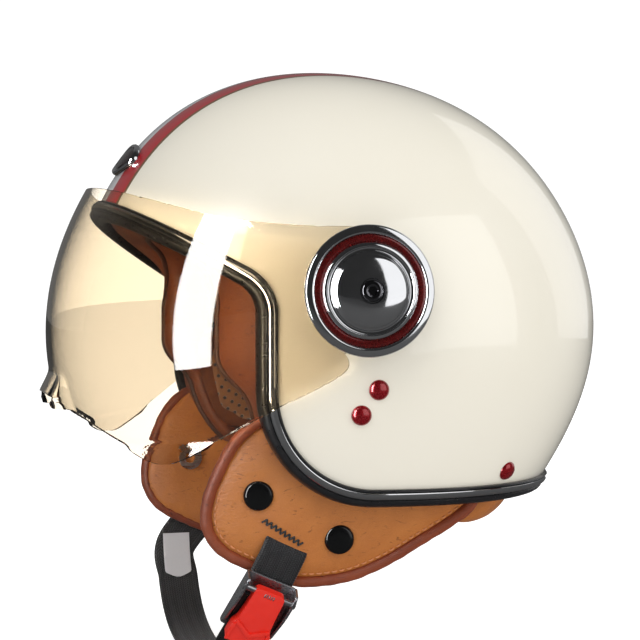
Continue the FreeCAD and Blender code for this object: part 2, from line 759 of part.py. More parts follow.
save("outer_shell", outer_shell())
save("edge_trim", edge_trim())
save("trim_strip", strip_form())
foam_liner = foam()
save("foam_crown", foam_crown(foam_liner))
save_pair("foam_side", foam_side(foam_liner))
save("crown_pad", crown_pad())
save("brow_band", brow_band())
save("neck_roll", neck_roll())
save_pair("cheek_pad", cheek_pad())
save_pair("ear_flap", ear_flap())
save_pair("flap_piping", flap_piping())
save_pair("snap_caps", snap_caps())
save_pair("snap_sockets", snap_sockets())
save_pair("cheek_mesh", cheek_mesh())
save_pair("strap_rivets", strap_rivets())
save_pair("rear_rivet", rear_rivet())
save_pair("strap_anchor", strap_anchor())
save("visor_lens", visor_lens())
save_pair("pivot_base", pivot_base())
save_pair("pivot_bush", pivot_bush())
save_pair("friction_washer", friction_washer())
save_pair("pivot_cap", pivot_cap())
save_pair("accent_ring", accent_ring())
save_pair("pivot_screw", pivot_screw())
save_pair("insert_nut", insert_nut())
save("badge_rim", badge_rim())
save("badge_face", badge_face())
save("strap_left", strap_left())
save("strap_right", strap_right())
save("buckle_frame", buckle_frame())
save("lever_pin", lever_pin())
save("release_lever", release_lever())
save("lever_spring", lever_spring())
save("ratchet_tongue", ratchet_tongue())
save("strap_keeper", strap_keeper())
save_pair("bar_tack", bar_tack())
save("strap_label", strap_label())
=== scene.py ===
import json
import math
import random

import bmesh
import bpy
import numpy as np
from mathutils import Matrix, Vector
from mathutils.bvhtree import BVHTree


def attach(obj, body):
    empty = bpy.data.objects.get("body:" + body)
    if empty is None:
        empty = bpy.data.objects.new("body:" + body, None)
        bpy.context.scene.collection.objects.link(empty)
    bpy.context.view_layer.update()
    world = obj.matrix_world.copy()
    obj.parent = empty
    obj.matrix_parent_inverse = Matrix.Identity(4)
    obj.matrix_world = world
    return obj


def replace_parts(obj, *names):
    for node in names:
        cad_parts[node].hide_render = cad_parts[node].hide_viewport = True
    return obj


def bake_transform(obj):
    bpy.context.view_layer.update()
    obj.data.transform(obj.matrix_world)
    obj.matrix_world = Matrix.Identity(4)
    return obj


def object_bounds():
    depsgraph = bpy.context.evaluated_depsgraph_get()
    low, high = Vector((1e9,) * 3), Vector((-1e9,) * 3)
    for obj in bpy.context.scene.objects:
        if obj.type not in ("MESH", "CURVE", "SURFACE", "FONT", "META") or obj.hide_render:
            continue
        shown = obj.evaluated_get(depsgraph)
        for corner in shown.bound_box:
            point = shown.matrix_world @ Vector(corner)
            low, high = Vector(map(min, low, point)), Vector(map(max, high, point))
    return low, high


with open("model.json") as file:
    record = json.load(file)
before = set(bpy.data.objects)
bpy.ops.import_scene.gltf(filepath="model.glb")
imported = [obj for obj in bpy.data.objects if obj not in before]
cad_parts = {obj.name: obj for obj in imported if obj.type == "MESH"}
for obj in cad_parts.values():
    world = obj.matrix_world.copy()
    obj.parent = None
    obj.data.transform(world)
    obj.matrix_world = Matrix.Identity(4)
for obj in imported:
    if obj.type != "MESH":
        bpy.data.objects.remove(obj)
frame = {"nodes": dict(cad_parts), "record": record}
cad_bounds = [list(corner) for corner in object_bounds()]

# Lengths below are in millimetres and become metres when a mesh is made.
MM = 0.001
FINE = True
SHELL_CELLS, CROWN_CELLS, VISOR_CELLS = (112, 80, 150) if FINE else (72, 56, 90)
random.seed(7)

# ---- The egg form that every layer of the helmet follows --------------------
FORM_CENTRE = np.array([0.0, 8.0, 88.0])
HALF_WIDTH = 121.0
FULLNESS = 2.15
PROFILE = [151.0, 148.0, 143.5, 132.5, 128.0, 126.5, 127.0, 125.0, 134.0, 152.0, 161.0, 159.0]

PIVOT = np.array([0.0, -20.0, 111.0])
VISOR_HALF_WIDTH = 127.0
VISOR_WALL = 2.4
VISOR_PROFILE = [130.5, 121.0, 121.0, 124.0, 128.0, 130.0, 130.0, 130.0, 135.0, 142.0, 146.0, 142.5]

FLAP_PROFILE = [240.0] * 12
FLAP_HALF_WIDTH = 99.0

# ---- Rim line in the side view ----------------------------------------------
BROW_POINT = np.array([-126.5, 144.9])
BROW_SLOPE = math.radians(-30.7)
CHEEK_Y = -67.5
HEM_Z = 6.5
HEM_SLOPE = math.radians(-1.1)
TEMPLE_RADIUS = 16.0
JAW_RADIUS = 58.0


def radii(table, angle):
    """Smooth closed curve through evenly spaced radii, for an array of angles."""
    count = len(table)
    total = np.zeros_like(angle, dtype=float)
    for index, value in enumerate(table):
        gap = angle - 2 * math.pi * index / count
        weight = 1.0 + np.cos(count / 2 * gap)
        for harmonic in range(1, count // 2):
            weight = weight + 2 * np.cos(harmonic * gap)
        total = total + value * weight / count
    return total


class Egg:
    """Closed form with a side outline and a half width, grown by an offset."""

    def __init__(self, table, half_width, centre):
        self.table, self.half_width, self.centre = table, half_width, centre

    def share(self, points, offset=0.0):
        y, z = points[..., 1] - self.centre[1], points[..., 2] - self.centre[2]
        reach = radii(self.table, np.arctan2(z, -y)) + offset
        side = np.abs(points[..., 0]) / (self.half_width + offset)
        return (np.hypot(y, z) / reach) ** FULLNESS + side ** FULLNESS

    def cast(self, ways, offset=0.0):
        """Points where rays from the centre meet the surface."""
        size = self.share(self.centre + ways, offset)
        return self.centre + ways / (size ** (1 / FULLNESS))[..., None]

    def normal(self, points, offset=0.0):
        step = 0.05
        grads = []
        for axis in range(3):
            move = np.zeros(3)
            move[axis] = step
            grads.append(self.share(points + move, offset) - self.share(points - move, offset))
        slope = np.stack(grads, -1)
        return slope / np.linalg.norm(slope, axis=-1, keepdims=True)

    def x_at(self, y, z, offset=0.0):
        dy, dz = np.asarray(y, float) - self.centre[1], np.asarray(z, float) - self.centre[2]
        reach = radii(self.table, np.arctan2(dz, -dy)) + offset
        rest = np.clip(1 - (np.hypot(dy, dz) / reach) ** FULLNESS, 0, 1)
        return (self.half_width + offset) * rest ** (1 / FULLNESS)


shell_form = Egg(PROFILE, HALF_WIDTH, FORM_CENTRE)
visor_form = Egg(VISOR_PROFILE, VISOR_HALF_WIDTH, PIVOT)
flap_form = Egg(FLAP_PROFILE, FLAP_HALF_WIDTH, FORM_CENTRE)

# ---- Distance into the shell from the rim line ------------------------------
BROW_WAY = np.array([math.cos(BROW_SLOPE), math.sin(BROW_SLOPE)])
BROW_UP = np.array([-BROW_WAY[1], BROW_WAY[0]])
HEM_WAY = np.array([math.cos(HEM_SLOPE), math.sin(HEM_SLOPE)])
HEM_UP = np.array([-HEM_WAY[1], HEM_WAY[0]])
HEM_POINT = np.array([0.0, HEM_Z])


def meeting(point_a, way_a, point_b, way_b):
    """Crossing of two lines in the side view."""
    solved = np.linalg.solve(np.array([way_a, -way_b]).T, point_b - point_a)
    return point_a + way_a * solved[0]


DOWN = np.array([0.0, -1.0])
TEMPLE_SIDE = np.array([CHEEK_Y - TEMPLE_RADIUS, 0.0])
JAW_SIDE = np.array([CHEEK_Y + JAW_RADIUS, 0.0])
TEMPLE_CENTRE = meeting(BROW_POINT - BROW_UP * TEMPLE_RADIUS, BROW_WAY, TEMPLE_SIDE, DOWN)
JAW_CENTRE = meeting(HEM_POINT + HEM_UP * JAW_RADIUS, HEM_WAY, JAW_SIDE, DOWN)


def rim_depth(points):
    """Signed distance into the shell from the opening's edge, seen from the side."""
    flat = points[..., 1:3]
    brow = (flat - BROW_POINT) @ BROW_UP
    cheek = flat[..., 0] - CHEEK_Y
    hem = (flat - HEM_POINT) @ HEM_UP
    from_jaw = flat - JAW_CENTRE
    in_jaw = (from_jaw[..., 0] < 0) & (from_jaw @ HEM_UP < 0)
    round_jaw = JAW_RADIUS - np.hypot(from_jaw[..., 0], from_jaw[..., 1])
    lower = np.where(in_jaw, round_jaw, np.minimum(cheek, hem))
    from_temple = flat - TEMPLE_CENTRE
    in_temple = (from_temple @ BROW_WAY > 0) & (from_temple[..., 1] > 0)
    round_temple = np.hypot(from_temple[..., 0], from_temple[..., 1]) - TEMPLE_RADIUS
    return np.where(in_temple, round_temple, np.maximum(brow, lower))


# Points on the brow, cheek and hem stretches of half the rim, and on half of each rounded corner.
RIM_COUNTS = (100, 60, 120)
TEMPLE_HALF, JAW_HALF = 20, 30


def rim_half(depth, offset=0.0):
    """Points along the rim line on the left, from the brow's middle to the middle of the rear hem."""
    radius_t = TEMPLE_RADIUS + depth
    radius_j = JAW_RADIUS - depth
    turn_t = np.linspace(math.atan2(BROW_UP[1], BROW_UP[0]), 0, 2 * TEMPLE_HALF + 1)
    temple = TEMPLE_CENTRE + radius_t * np.stack([np.cos(turn_t), np.sin(turn_t)], -1)
    turn_j = np.linspace(math.pi, 1.5 * math.pi + HEM_SLOPE, 2 * JAW_HALF + 1)
    jaw = JAW_CENTRE + radius_j * np.stack([np.cos(turn_j), np.sin(turn_j)], -1)

    def edge(start, way, far):
        low, high = 0.0, far
        for _ in range(30):
            middle = (low + high) / 2
            y, z = start + way * middle
            if shell_form.share(np.array([0.0, y, z]), offset) < 1:
                low = middle
            else:
                high = middle
        return start + way * low

    first = edge(temple[0], -BROW_WAY, 150)
    last = edge(jaw[-1], HEM_WAY, 260)
    fine = np.linspace(0, 1, 400)[:, None] ** 2
    brow = first + (temple[0] - first) * fine
    hem = last + (jaw[-1] - last) * fine[::-1]
    stretches = [
        np.concatenate([brow, temple[1:TEMPLE_HALF + 1]]),
        np.concatenate([temple[TEMPLE_HALF:], jaw[:JAW_HALF + 1]]),
        np.concatenate([jaw[JAW_HALF:], hem[1:]]),
    ]
    pieces = []
    for flat, count in zip(stretches, RIM_COUNTS):
        side = shell_form.x_at(flat[:, 0], flat[:, 1], offset)
        points = resample(np.column_stack([side, flat]), count + 1)
        pieces.append(points[:-1])
    pieces.append(np.array([[0.0, last[0], last[1]]]))
    line = np.concatenate(pieces)
    line[0, 0] = 0.0
    return line


def rim_ring(depth, offset=0.0):
    """The whole rim line as a closed ring, the same count of points at every depth."""
    left = rim_half(depth, offset)
    right = left[::-1][1:-1] * np.array([-1.0, 1.0, 1.0])
    return np.concatenate([left, right])


RIM_TOTAL = 2 * sum(RIM_COUNTS)


def rim_grid(section):
    """Rings for every (depth, offset) of a section: an array of ring point by section point."""
    return np.stack([rim_ring(depth, offset) for depth, offset in section], 1)


def grid_tube(grid, closed=True):
    """Verts and faces of a tube from rows of section points."""
    rows, columns = grid.shape[:2]
    faces = []
    for i in range(rows if closed else rows - 1):
        after = (i + 1) % rows
        for j in range(columns):
            step = (j + 1) % columns
            faces.append((i * columns + j, i * columns + step, after * columns + step, after * columns + j))
    if not closed:
        faces.append(tuple(range(columns))[::-1])
        faces.append(tuple((rows - 1) * columns + j for j in range(columns)))
    return grid.reshape(-1, 3), faces


def run_along(points):
    """Distance travelled at each point of a line."""
    return np.concatenate([[0.0], np.cumsum(np.linalg.norm(np.diff(points, axis=0), axis=1))])


def resample(points, count, closed=False):
    """Evenly spaced points along a polyline."""
    points = np.asarray(points, float)
    if closed:
        points = np.concatenate([points, points[:1]])
    run = run_along(points)
    marks = np.linspace(0, run[-1], count + 1)[:-1] if closed else np.linspace(0, run[-1], count)
    return np.column_stack([np.interp(marks, run, points[:, k]) for k in range(points.shape[1])])


def smooth_curve(points, per_span=12, closed=False):
    """Catmull-Rom curve through given points."""
    points = np.asarray(points, float)
    count = len(points)
    result = []
    spans = count if closed else count - 1
    for index in range(spans):
        if closed:
            p = [points[(index + k) % count] for k in (-1, 0, 1, 2)]
        else:
            p = [points[min(max(index + k, 0), count - 1)] for k in (-1, 0, 1, 2)]
        for step in range(per_span):
            t = step / per_span
            line = 2 * p[1] + (p[2] - p[0]) * t
            bend = (2 * p[0] - 5 * p[1] + 4 * p[2] - p[3]) * t * t
            turn = (3 * p[1] - p[0] - 3 * p[2] + p[3]) * t ** 3
            result.append(0.5 * (line + bend + turn))
    if not closed:
        result.append(points[-1])
    return np.array(result)


def ramp(value, low, high):
    """Smooth step from 0 at low to 1 at high."""
    t = np.clip((value - low) / (high - low), 0, 1)
    return t * t * (3 - 2 * t)


# ---- Making objects ---------------------------------------------------------
def make(name, verts, faces, material, body="shell", slot=None, smooth_angle=40):
    """Object from points in millimetres, which rides on a body."""
    mesh = bpy.data.meshes.new(name)
    points = [tuple(v) for v in np.asarray(verts, float) * MM]
    mesh.from_pydata(points, [], [tuple(int(i) for i in f) for f in faces])
    mesh.validate()
    obj = bpy.data.objects.new(name, mesh)
    bpy.context.scene.collection.objects.link(obj)
    mesh.materials.append(material)
    mesh.polygons.foreach_set("use_smooth", [True] * len(mesh.polygons))
    if smooth_angle:
        mesh.set_sharp_from_angle(angle=math.radians(smooth_angle))
    if body:
        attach(obj, body)
    return obj


def settle(obj, smooth_angle=40):
    """Apply the modifiers, so the piece is one final mesh."""
    graph = bpy.context.evaluated_depsgraph_get()
    mesh = bpy.data.meshes.new_from_object(obj.evaluated_get(graph), depsgraph=graph)
    obj.modifiers.clear()
    old = obj.data
    obj.data = mesh
    mesh.name = obj.name
    bpy.data.meshes.remove(old)
    mesh.polygons.foreach_set("use_smooth", [True] * len(mesh.polygons))
    if smooth_angle:
        mesh.set_sharp_from_angle(angle=math.radians(smooth_angle))
    return obj


def solidify(obj, thick, inward=True, smooth_angle=40, even=True):
    modifier = obj.modifiers.new("wall", "SOLIDIFY")
    modifier.thickness = thick * MM
    modifier.offset = -1.0 if inward else 1.0
    modifier.use_even_offset = even
    return settle(obj, smooth_angle)


def bevelled(obj, width, segments=3, angle=35):
    modifier = obj.modifiers.new("bevel", "BEVEL")
    modifier.width = width * MM
    modifier.segments = segments
    modifier.limit_method = "ANGLE"
    modifier.angle_limit = math.radians(angle)
    modifier.harden_normals = False
    return settle(obj, 50)


def cube_sphere(cells):
    """Directions and quads of a cube blown up to a ball: no poles."""
    index = {}
    ways = []
    quads = []

    def vertex(point):
        key = tuple(np.round(point, 6))
        if key not in index:
            index[key] = len(ways)
            ways.append(point)
        return index[key]

    marks = np.tan(np.linspace(-math.pi / 4, math.pi / 4, cells + 1))
    for axis in range(3):
        for sign in (-1, 1):
            rows = []
            for a in marks:
                row = []
                for b in marks:
                    point = [0.0, 0.0, 0.0]
                    point[axis] = float(sign)
                    point[(axis + 1) % 3] = float(a)
                    point[(axis + 2) % 3] = float(b)
                    row.append(vertex(point))
                rows.append(row)
            for i in range(cells):
                for j in range(cells):
                    quad = (rows[i][j], rows[i + 1][j], rows[i + 1][j + 1], rows[i][j + 1])
                    quads.append(quad if sign > 0 else quad[::-1])
    ways = np.array(ways)
    return ways / np.linalg.norm(ways, axis=1, keepdims=True), np.array(quads)


def clipped(form, ways, quads, field):
    """Keep the part of the surface where field(points) is positive, cut cleanly at its edge."""
    values = field(form.cast(ways))
    inside = values > 0
    kept = inside[quads].sum(1)
    whole = quads[kept == 4]
    parts = quads[(kept > 0) & (kept < 4)]
    pairs = {}
    extra = []
    polygons = [tuple(q) for q in whole]
    base = len(ways)

    def crossing(a, b):
        key = (min(a, b), max(a, b))
        if key not in pairs:
            pairs[key] = base + len(extra)
            extra.append(key)
        return pairs[key]

    for quad in parts:
        polygon = []
        for k in range(4):
            a, b = int(quad[k]), int(quad[(k + 1) % 4])
            if inside[a]:
                polygon.append(a)
            if inside[a] != inside[b]:
                polygon.append(crossing(a, b))
        if len(polygon) >= 3:
            polygons.append(tuple(polygon))
    if extra:
        a = ways[[k[0] for k in extra]]
        b = ways[[k[1] for k in extra]]
        first = inside[[k[0] for k in extra]]
        low = np.where(first[:, None], a, b)
        high = np.where(first[:, None], b, a)
        for _ in range(24):
            middle = (low + high) / 2
            good = (field(form.cast(middle)) > 0)[:, None]
            low = np.where(good, middle, low)
            high = np.where(good, high, middle)
        ways = np.concatenate([ways, low])
    used = np.unique(np.concatenate([np.array(p) for p in polygons]))
    renumber = -np.ones(len(ways), int)
    renumber[used] = np.arange(len(used))
    return ways[used], [tuple(renumber[list(p)]) for p in polygons]


def tangents(points, closed=True):
    if closed:
        way = np.roll(points, -1, 0) - np.roll(points, 1, 0)
    else:
        way = np.gradient(points, axis=0)
    return way / np.linalg.norm(way, axis=1, keepdims=True)


def lathe(profile, steps=128):
    """Turned piece about +Z from (radius, height) points; ends at radius 0 close it."""
    verts = []
    faces = []
    rows = []
    for radius, height in profile:
        if radius < 1e-6:
            rows.append([len(verts)] * steps)
            verts.append((0, 0, height))
        else:
            rows.append(list(range(len(verts), len(verts) + steps)))
            for k in range(steps):
                angle = 2 * math.pi * k / steps
                verts.append((radius * math.cos(angle), radius * math.sin(angle), height))
    for low, high in zip(rows, rows[1:]):
        for k in range(steps):
            ring = [low[k], low[(k + 1) % steps], high[(k + 1) % steps], high[k]]
            face = list(dict.fromkeys(ring))
            if len(face) >= 3:
                faces.append(tuple(face))
    return np.array(verts, float), faces


def rounded(profile, radius=0.5, steps=4):
    """Round the corners of an open (radius, height) profile."""
    points = [np.array(p, float) for p in profile]
    result = [points[0]]
    for before, here, after in zip(points, points[1:], points[2:]):
        a, b = before - here, after - here
        reach = min(radius, np.linalg.norm(a) * 0.45, np.linalg.norm(b) * 0.45)
        start = here + a / np.linalg.norm(a) * reach
        end = here + b / np.linalg.norm(b) * reach
        for k in range(steps + 1):
            t = k / steps
            result.append((1 - t) ** 2 * start + 2 * t * (1 - t) * here + t * t * end)
    result.append(points[-1])
    return result


def placed(verts, origin, way, up=(0, 0, 1)):
    """Turn +Z to a direction and move to an origin."""
    z = np.array(way, float)
    z /= np.linalg.norm(z)
    x = np.cross(np.array(up, float), z)
    x /= np.linalg.norm(x)
    y = np.cross(z, x)
    return np.asarray(origin, float) + verts @ np.array([x, y, z])


def mirrored(verts, faces):
    return verts * np.array([-1.0, 1.0, 1.0]), [tuple(reversed(f)) for f in faces]


def joined(parts):
    """Join (verts, faces) lists into one."""
    verts = []
    faces = []
    base = 0
    for v, f in parts:
        verts.append(np.asarray(v, float))
        faces += [tuple(i + base for i in face) for face in f]
        base += len(v)
    return np.concatenate(verts), faces


def fix_normals(obj):
    """Turn every face outwards."""
    work = bmesh.new()
    work.from_mesh(obj.data)
    bmesh.ops.recalc_face_normals(work, faces=work.faces)
    work.to_mesh(obj.data)
    work.free()
    return obj


def both_sides(name, verts, faces, material, slot, replaces=None, body="shell", finish=fix_normals):
    """Left piece and its mirror image; replaces is the CAD node's stem."""
    made = []
    for side, (v, f) in (("left", (verts, faces)), ("right", mirrored(verts, faces))):
        obj = make(name + "_" + side, v, f, material, body, slot)
        if replaces:
            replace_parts(obj, replaces + "_" + side)
        made.append(finish(obj) if finish else obj)
    return made


def tube_along(path, radius, sides=12, closed=False, squeeze=None, up=(1, 0, 0)):
    """Round tube along points; squeeze is (across, upright) shares of the radius."""
    path = np.asarray(path, float)
    way = tangents(path, closed)
    up = np.broadcast_to(np.asarray(up, float), path.shape)
    side = np.cross(way, up)
    side /= np.linalg.norm(side, axis=1, keepdims=True)
    top = np.cross(side, way)
    wide, tall = squeeze or (1.0, 1.0)
    turns = np.linspace(0, 2 * math.pi, sides + 1)[:-1]
    size = np.broadcast_to(np.asarray(radius, float), (len(path),))[:, None, None]
    ring = side[:, None] * np.cos(turns)[None, :, None] * wide
    ring = ring + top[:, None] * np.sin(turns)[None, :, None] * tall
    return grid_tube(path[:, None] + ring * size, closed)


def welded(obj, gap):
    """Merge the slivers that a cut leaves at its edge."""
    work = bmesh.new()
    work.from_mesh(obj.data)
    bmesh.ops.remove_doubles(work, verts=work.verts, dist=gap * MM)
    work.to_mesh(obj.data)
    work.free()
    return obj


# ---- Materials --------------------------------------------------------------
def tint(red, green, blue):
    """Screen colour from 0 to 255 as the linear colour that a node takes."""
    channels = [c / 255 for c in (red, green, blue)]
    return tuple(c / 12.92 if c <= 0.04045 else ((c + 0.055) / 1.055) ** 2.4 for c in channels) + (1.0,)


def put(tree, socket, value):
    """Set a socket, or link it when the value is another socket."""
    if isinstance(value, bpy.types.NodeSocket):
        tree.links.new(value, socket)
    else:
        socket.default_value = value


RANGE_INPUTS = ("Value", "From Min", "From Max", "To Min", "To Max")


class Finish:
    """A Principled material; its patterns are laid out in millimetres on the piece at rest."""

    def __init__(self, name, colour=None, **values):
        self.material = bpy.data.materials.new(name)
        self.material.use_nodes = True
        self.tree = self.material.node_tree
        self.shader = self.tree.nodes["Principled BSDF"]
        if colour is not None:
            self.shader.inputs["Base Color"].default_value = colour
        for word, value in values.items():
            self.shader.inputs[word.replace("_", " ")].default_value = value
        mapping = self.tree.nodes.new("ShaderNodeMapping")
        mapping.inputs["Scale"].default_value = (1 / MM, 1 / MM, 1 / MM)
        coords = self.tree.nodes.new("ShaderNodeTexCoord")
        self.tree.links.new(coords.outputs["Object"], mapping.inputs["Vector"])
        self.place = mapping.outputs["Vector"]
        self.cut = coords.outputs["UV"]

    def put(self, socket, value):
        put(self.tree, socket, value)

    def drive(self, name, value):
        self.put(self.shader.inputs[name], value)
        return self

    def math(self, operation, *values, clamp=False):
        made = self.tree.nodes.new("ShaderNodeMath")
        made.operation = operation
        made.use_clamp = clamp
        for socket, value in zip(made.inputs, values):
            self.put(socket, value)
        return made.outputs[0]

    def axes(self, vector=None):
        made = self.tree.nodes.new("ShaderNodeSeparateXYZ")
        self.put(made.inputs[0], vector or self.place)
        return made.outputs

    def stretched(self, scale, vector=None, turn=(0, 0, 0)):
        made = self.tree.nodes.new("ShaderNodeMapping")
        made.inputs["Scale"].default_value = scale
        made.inputs["Rotation"].default_value = turn
        self.put(made.inputs["Vector"], vector or self.place)
        return made.outputs[0]

    def noise(self, scale, detail=3.0, roughness=0.55, where=None, twist=0.0):
        made = self.tree.nodes.new("ShaderNodeTexNoise")
        self.put(made.inputs["Vector"], where or self.place)
        made.inputs["Scale"].default_value = scale
        made.inputs["Detail"].default_value = detail
        made.inputs["Roughness"].default_value = roughness
        made.inputs["Distortion"].default_value = twist
        return made.outputs["Fac"]

    def cells(self, scale, feature="F1", where=None, spread=1.0):
        made = self.tree.nodes.new("ShaderNodeTexVoronoi")
        made.feature = feature
        self.put(made.inputs["Vector"], where or self.place)
        made.inputs["Scale"].default_value = scale
        made.inputs["Randomness"].default_value = spread
        return made.outputs["Distance"]

    def span(self, value, low, high, to_low=0.0, to_high=1.0):
        made = self.tree.nodes.new("ShaderNodeMapRange")
        made.interpolation_type = "SMOOTHSTEP"
        for name, item in zip(RANGE_INPUTS, (value, low, high, to_low, to_high)):
            self.put(made.inputs[name], item)
        return made.outputs[0]

    def mix(self, share, first, second):
        made = self.tree.nodes.new("ShaderNodeMix")
        made.data_type = "RGBA"
        self.put(made.inputs[0], share)
        self.put(made.inputs[6], first)
        self.put(made.inputs[7], second)
        return made.outputs[2]

    def bump(self, height, depth, under=None):
        made = self.tree.nodes.new("ShaderNodeBump")
        made.inputs["Strength"].default_value = 1.0
        made.inputs["Distance"].default_value = depth * MM
        self.put(made.inputs["Height"], height)
        if under is not None:
            self.put(made.inputs["Normal"], under)
        return made.outputs[0]


STRIPE_WHITE, STRIPE_COLOUR, STRIPE_PIN = 10.5, 29.0, 31.6


def shell_paint():
    """Glossy cream lacquer with the racing stripe over the crown."""
    f = Finish("shell_paint", Roughness=0.32, Coat_Weight=1.0, Coat_Roughness=0.03)
    x = f.axes()[0]
    out = f.math("ABSOLUTE", x)
    cloud = f.noise(0.012, 2.0)
    cream = f.mix(cloud, tint(245, 239, 222), tint(247, 242, 228))
    left = f.span(x, -0.2, 0.2)
    band = f.mix(left, tint(12, 84, 58), tint(178, 2, 24))
    pin = f.mix(left, tint(24, 40, 34), tint(112, 78, 38))
    flake = f.noise(2.2, 2.0)
    silver = f.mix(flake, tint(226, 228, 233), tint(240, 240, 243))
    colour = f.mix(f.span(out, STRIPE_PIN - 0.15, STRIPE_PIN + 0.15), pin, cream)
    colour = f.mix(f.span(out, STRIPE_COLOUR + 0.15, STRIPE_COLOUR - 0.15), colour, band)
    colour = f.mix(f.span(out, STRIPE_WHITE + 0.15, STRIPE_WHITE - 0.15), colour, silver)
    f.drive("Base Color", colour)
    peel = f.noise(0.35, 1.0)
    f.drive("Normal", f.bump(peel, 0.012))
    f.drive("Roughness", f.span(f.noise(0.05, 3.0), 0.3, 0.7, 0.28, 0.36))
    return f.material


def rubber():
    f = Finish("trim_rubber", Roughness=0.34)
    f.drive("Base Color", f.mix(f.noise(0.08), tint(20, 20, 22), tint(34, 34, 37)))
    f.drive("Roughness", f.span(f.noise(0.3, 4.0), 0.3, 0.7, 0.26, 0.42))
    f.drive("Normal", f.bump(f.noise(1.6, 3.0), 0.03))
    return f.material


def chrome(name="chrome", colour=(226, 227, 230), rough=(0.035, 0.09)):
    """Bright plating with faint smears."""
    f = Finish(name, Metallic=1.0)
    smear = f.noise(0.06, 4.0, 0.6, twist=0.6)
    dark = tint(*[int(c * 0.93) for c in colour])
    f.drive("Base Color", f.mix(smear, dark, tint(*colour)))
    f.drive("Roughness", f.span(smear, 0.3, 0.7, *rough))
    return f.material


def leather(name, light, dark, depth=0.16, rough=(0.42, 0.6)):
    """Soft grained leather with pores, creases, uneven dye, and painted shade in the crease hollows."""
    f = Finish(name, Specular_IOR_Level=0.42, Sheen_Weight=0.04, Sheen_Roughness=0.5)
    warp = f.noise(0.12, 2.0)
    blot = f.noise(0.022, 4.0, 0.6, twist=0.4)
    pores = f.cells(0.85, "SMOOTH_F1")
    fine = f.noise(1.3, 4.0, 0.62, where=f.stretched((1.0, 1.0, 1.9)))
    crease = f.noise(0.16, 5.0, 0.68, where=f.stretched((1.0, 0.8, 2.1), turn=(0.5, 0, 0)), twist=1.2)
    colour = f.mix(f.span(blot, 0.25, 0.75), dark, light)
    worn = tuple(min(1.0, c * 1.25) for c in light[:3]) + (1.0,)
    # Painted shade: the leather is darkened in the hollows of the creases, where shade would fall.
    crease_painted_shade = tuple(c * 0.62 for c in dark[:3]) + (1.0,)
    colour = f.mix(f.span(crease, 0.42, 0.3), colour, crease_painted_shade)
    colour = f.mix(f.math("MULTIPLY", f.span(fine, 0.5, 0.75), 0.3), colour, worn)
    f.drive("Base Color", colour)
    height = f.math("ADD", f.math("MULTIPLY", pores, 0.5), fine)
    height = f.math("ADD", height, f.math("MULTIPLY", warp, 0.6))
    soft = f.bump(crease, depth * 2.6)
    f.drive("Normal", f.bump(height, depth, soft))
    f.drive("Roughness", f.span(fine, 0.25, 0.75, rough[1], rough[0]))
    return f.material


def suede(name, light, dark):
    """Napped lining: short fibres that lie unevenly."""
    f = Finish(name, Roughness=0.92, Specular_IOR_Level=0.2, Sheen_Weight=0.2, Sheen_Roughness=0.4,
               Sheen_Tint=tuple(min(1.0, c * 1.8) for c in light[:3]) + (1.0,))
    rubbed = f.noise(0.03, 5.0, 0.65, twist=0.9)
    nap = f.noise(2.4, 3.0, 0.7)
    colour = f.mix(f.span(rubbed, 0.3, 0.7), dark, light)
    f.drive("Base Color", f.mix(f.math("MULTIPLY", nap, 0.35), colour,
                                tuple(c * 0.5 for c in dark[:3]) + (1.0,)))
    f.drive("Roughness", f.span(nap, 0.3, 0.7, 0.86, 0.98))
    f.drive("Normal", f.bump(nap, 0.14, f.bump(rubbed, 0.5)))
    return f.material


def perforated():
    """Cheek panel of light suede with rows of punched holes, their insides painted dark as shade."""
    f = Finish("perforated_panel", Roughness=0.9, Sheen_Weight=0.35, Sheen_Roughness=0.5)
    holes = f.cells(0.22, "F1", where=f.stretched((0.0, 1.0, 1.0), turn=(0.5, 0, 0)), spread=0.0)
    nap = f.noise(1.8, 4.0, 0.7)
    cloth = f.mix(nap, tint(118, 70, 38), tint(150, 98, 58))
    edge = f.span(holes, 0.17, 0.24)
    # Painted shade: the holes are coloured dark brown where the shade inside them would fall; the bump
    # gives their depth.
    f.drive("Base Color", f.mix(edge, tint(38, 20, 13), cloth))
    f.drive("Normal", f.bump(edge, 0.8, f.bump(nap, 0.12)))
    f.drive("Roughness", f.span(nap, 0.3, 0.7, 0.82, 0.95))
    return f.material


def webbing():
    """Black nylon strap: fine ribs along its length, laid out in UV millimetres, with painted highlight on
    the rib tops and painted shade in the grooves.
    """
    f = Finish("webbing", Specular_IOR_Level=0.45, Sheen_Weight=0.25, Sheen_Roughness=0.4)
    along, across = f.axes(f.cut)[:2]
    phase = f.math("MULTIPLY", along, 2 * math.pi / 1.25)
    lean = f.math("MULTIPLY", f.math("PINGPONG", across, 2.6), 2 * math.pi / 1.6)
    twill = f.math("SINE", f.math("ADD", phase, lean))
    rib = f.math("SINE", f.math("MULTIPLY", across, 2 * math.pi / 1.3))
    weave = f.math("ADD", f.math("MULTIPLY", twill, 0.6), f.math("MULTIPLY", rib, 0.4))
    fuzz = f.noise(1.5, 4.0, 0.7)
    # Painted light: colour follows the weave relief, near black in the grooves as painted shade and grey on
    # the rib tops as a painted highlight.
    share = f.span(weave, -0.9, 0.9)
    f.drive("Base Color", f.mix(share, tint(9, 9, 11), f.mix(fuzz, tint(30, 30, 33), tint(48, 48, 52))))
    f.drive("Normal", f.bump(weave, 0.11, f.bump(fuzz, 0.1)))
    f.drive("Roughness", f.span(share, 0.0, 1.0, 0.72, 0.5))
    return f.material


def foam():
    """Black bead foam."""
    f = Finish("foam", Roughness=0.75)
    beads = f.cells(0.32, "DISTANCE_TO_EDGE")
    f.drive("Base Color", f.mix(f.noise(0.3), tint(22, 22, 24), tint(40, 40, 43)))
    f.drive("Normal", f.bump(f.span(beads, 0.0, 0.16), 0.3))
    f.drive("Roughness", f.span(beads, 0.0, 0.2, 0.9, 0.62))
    return f.material


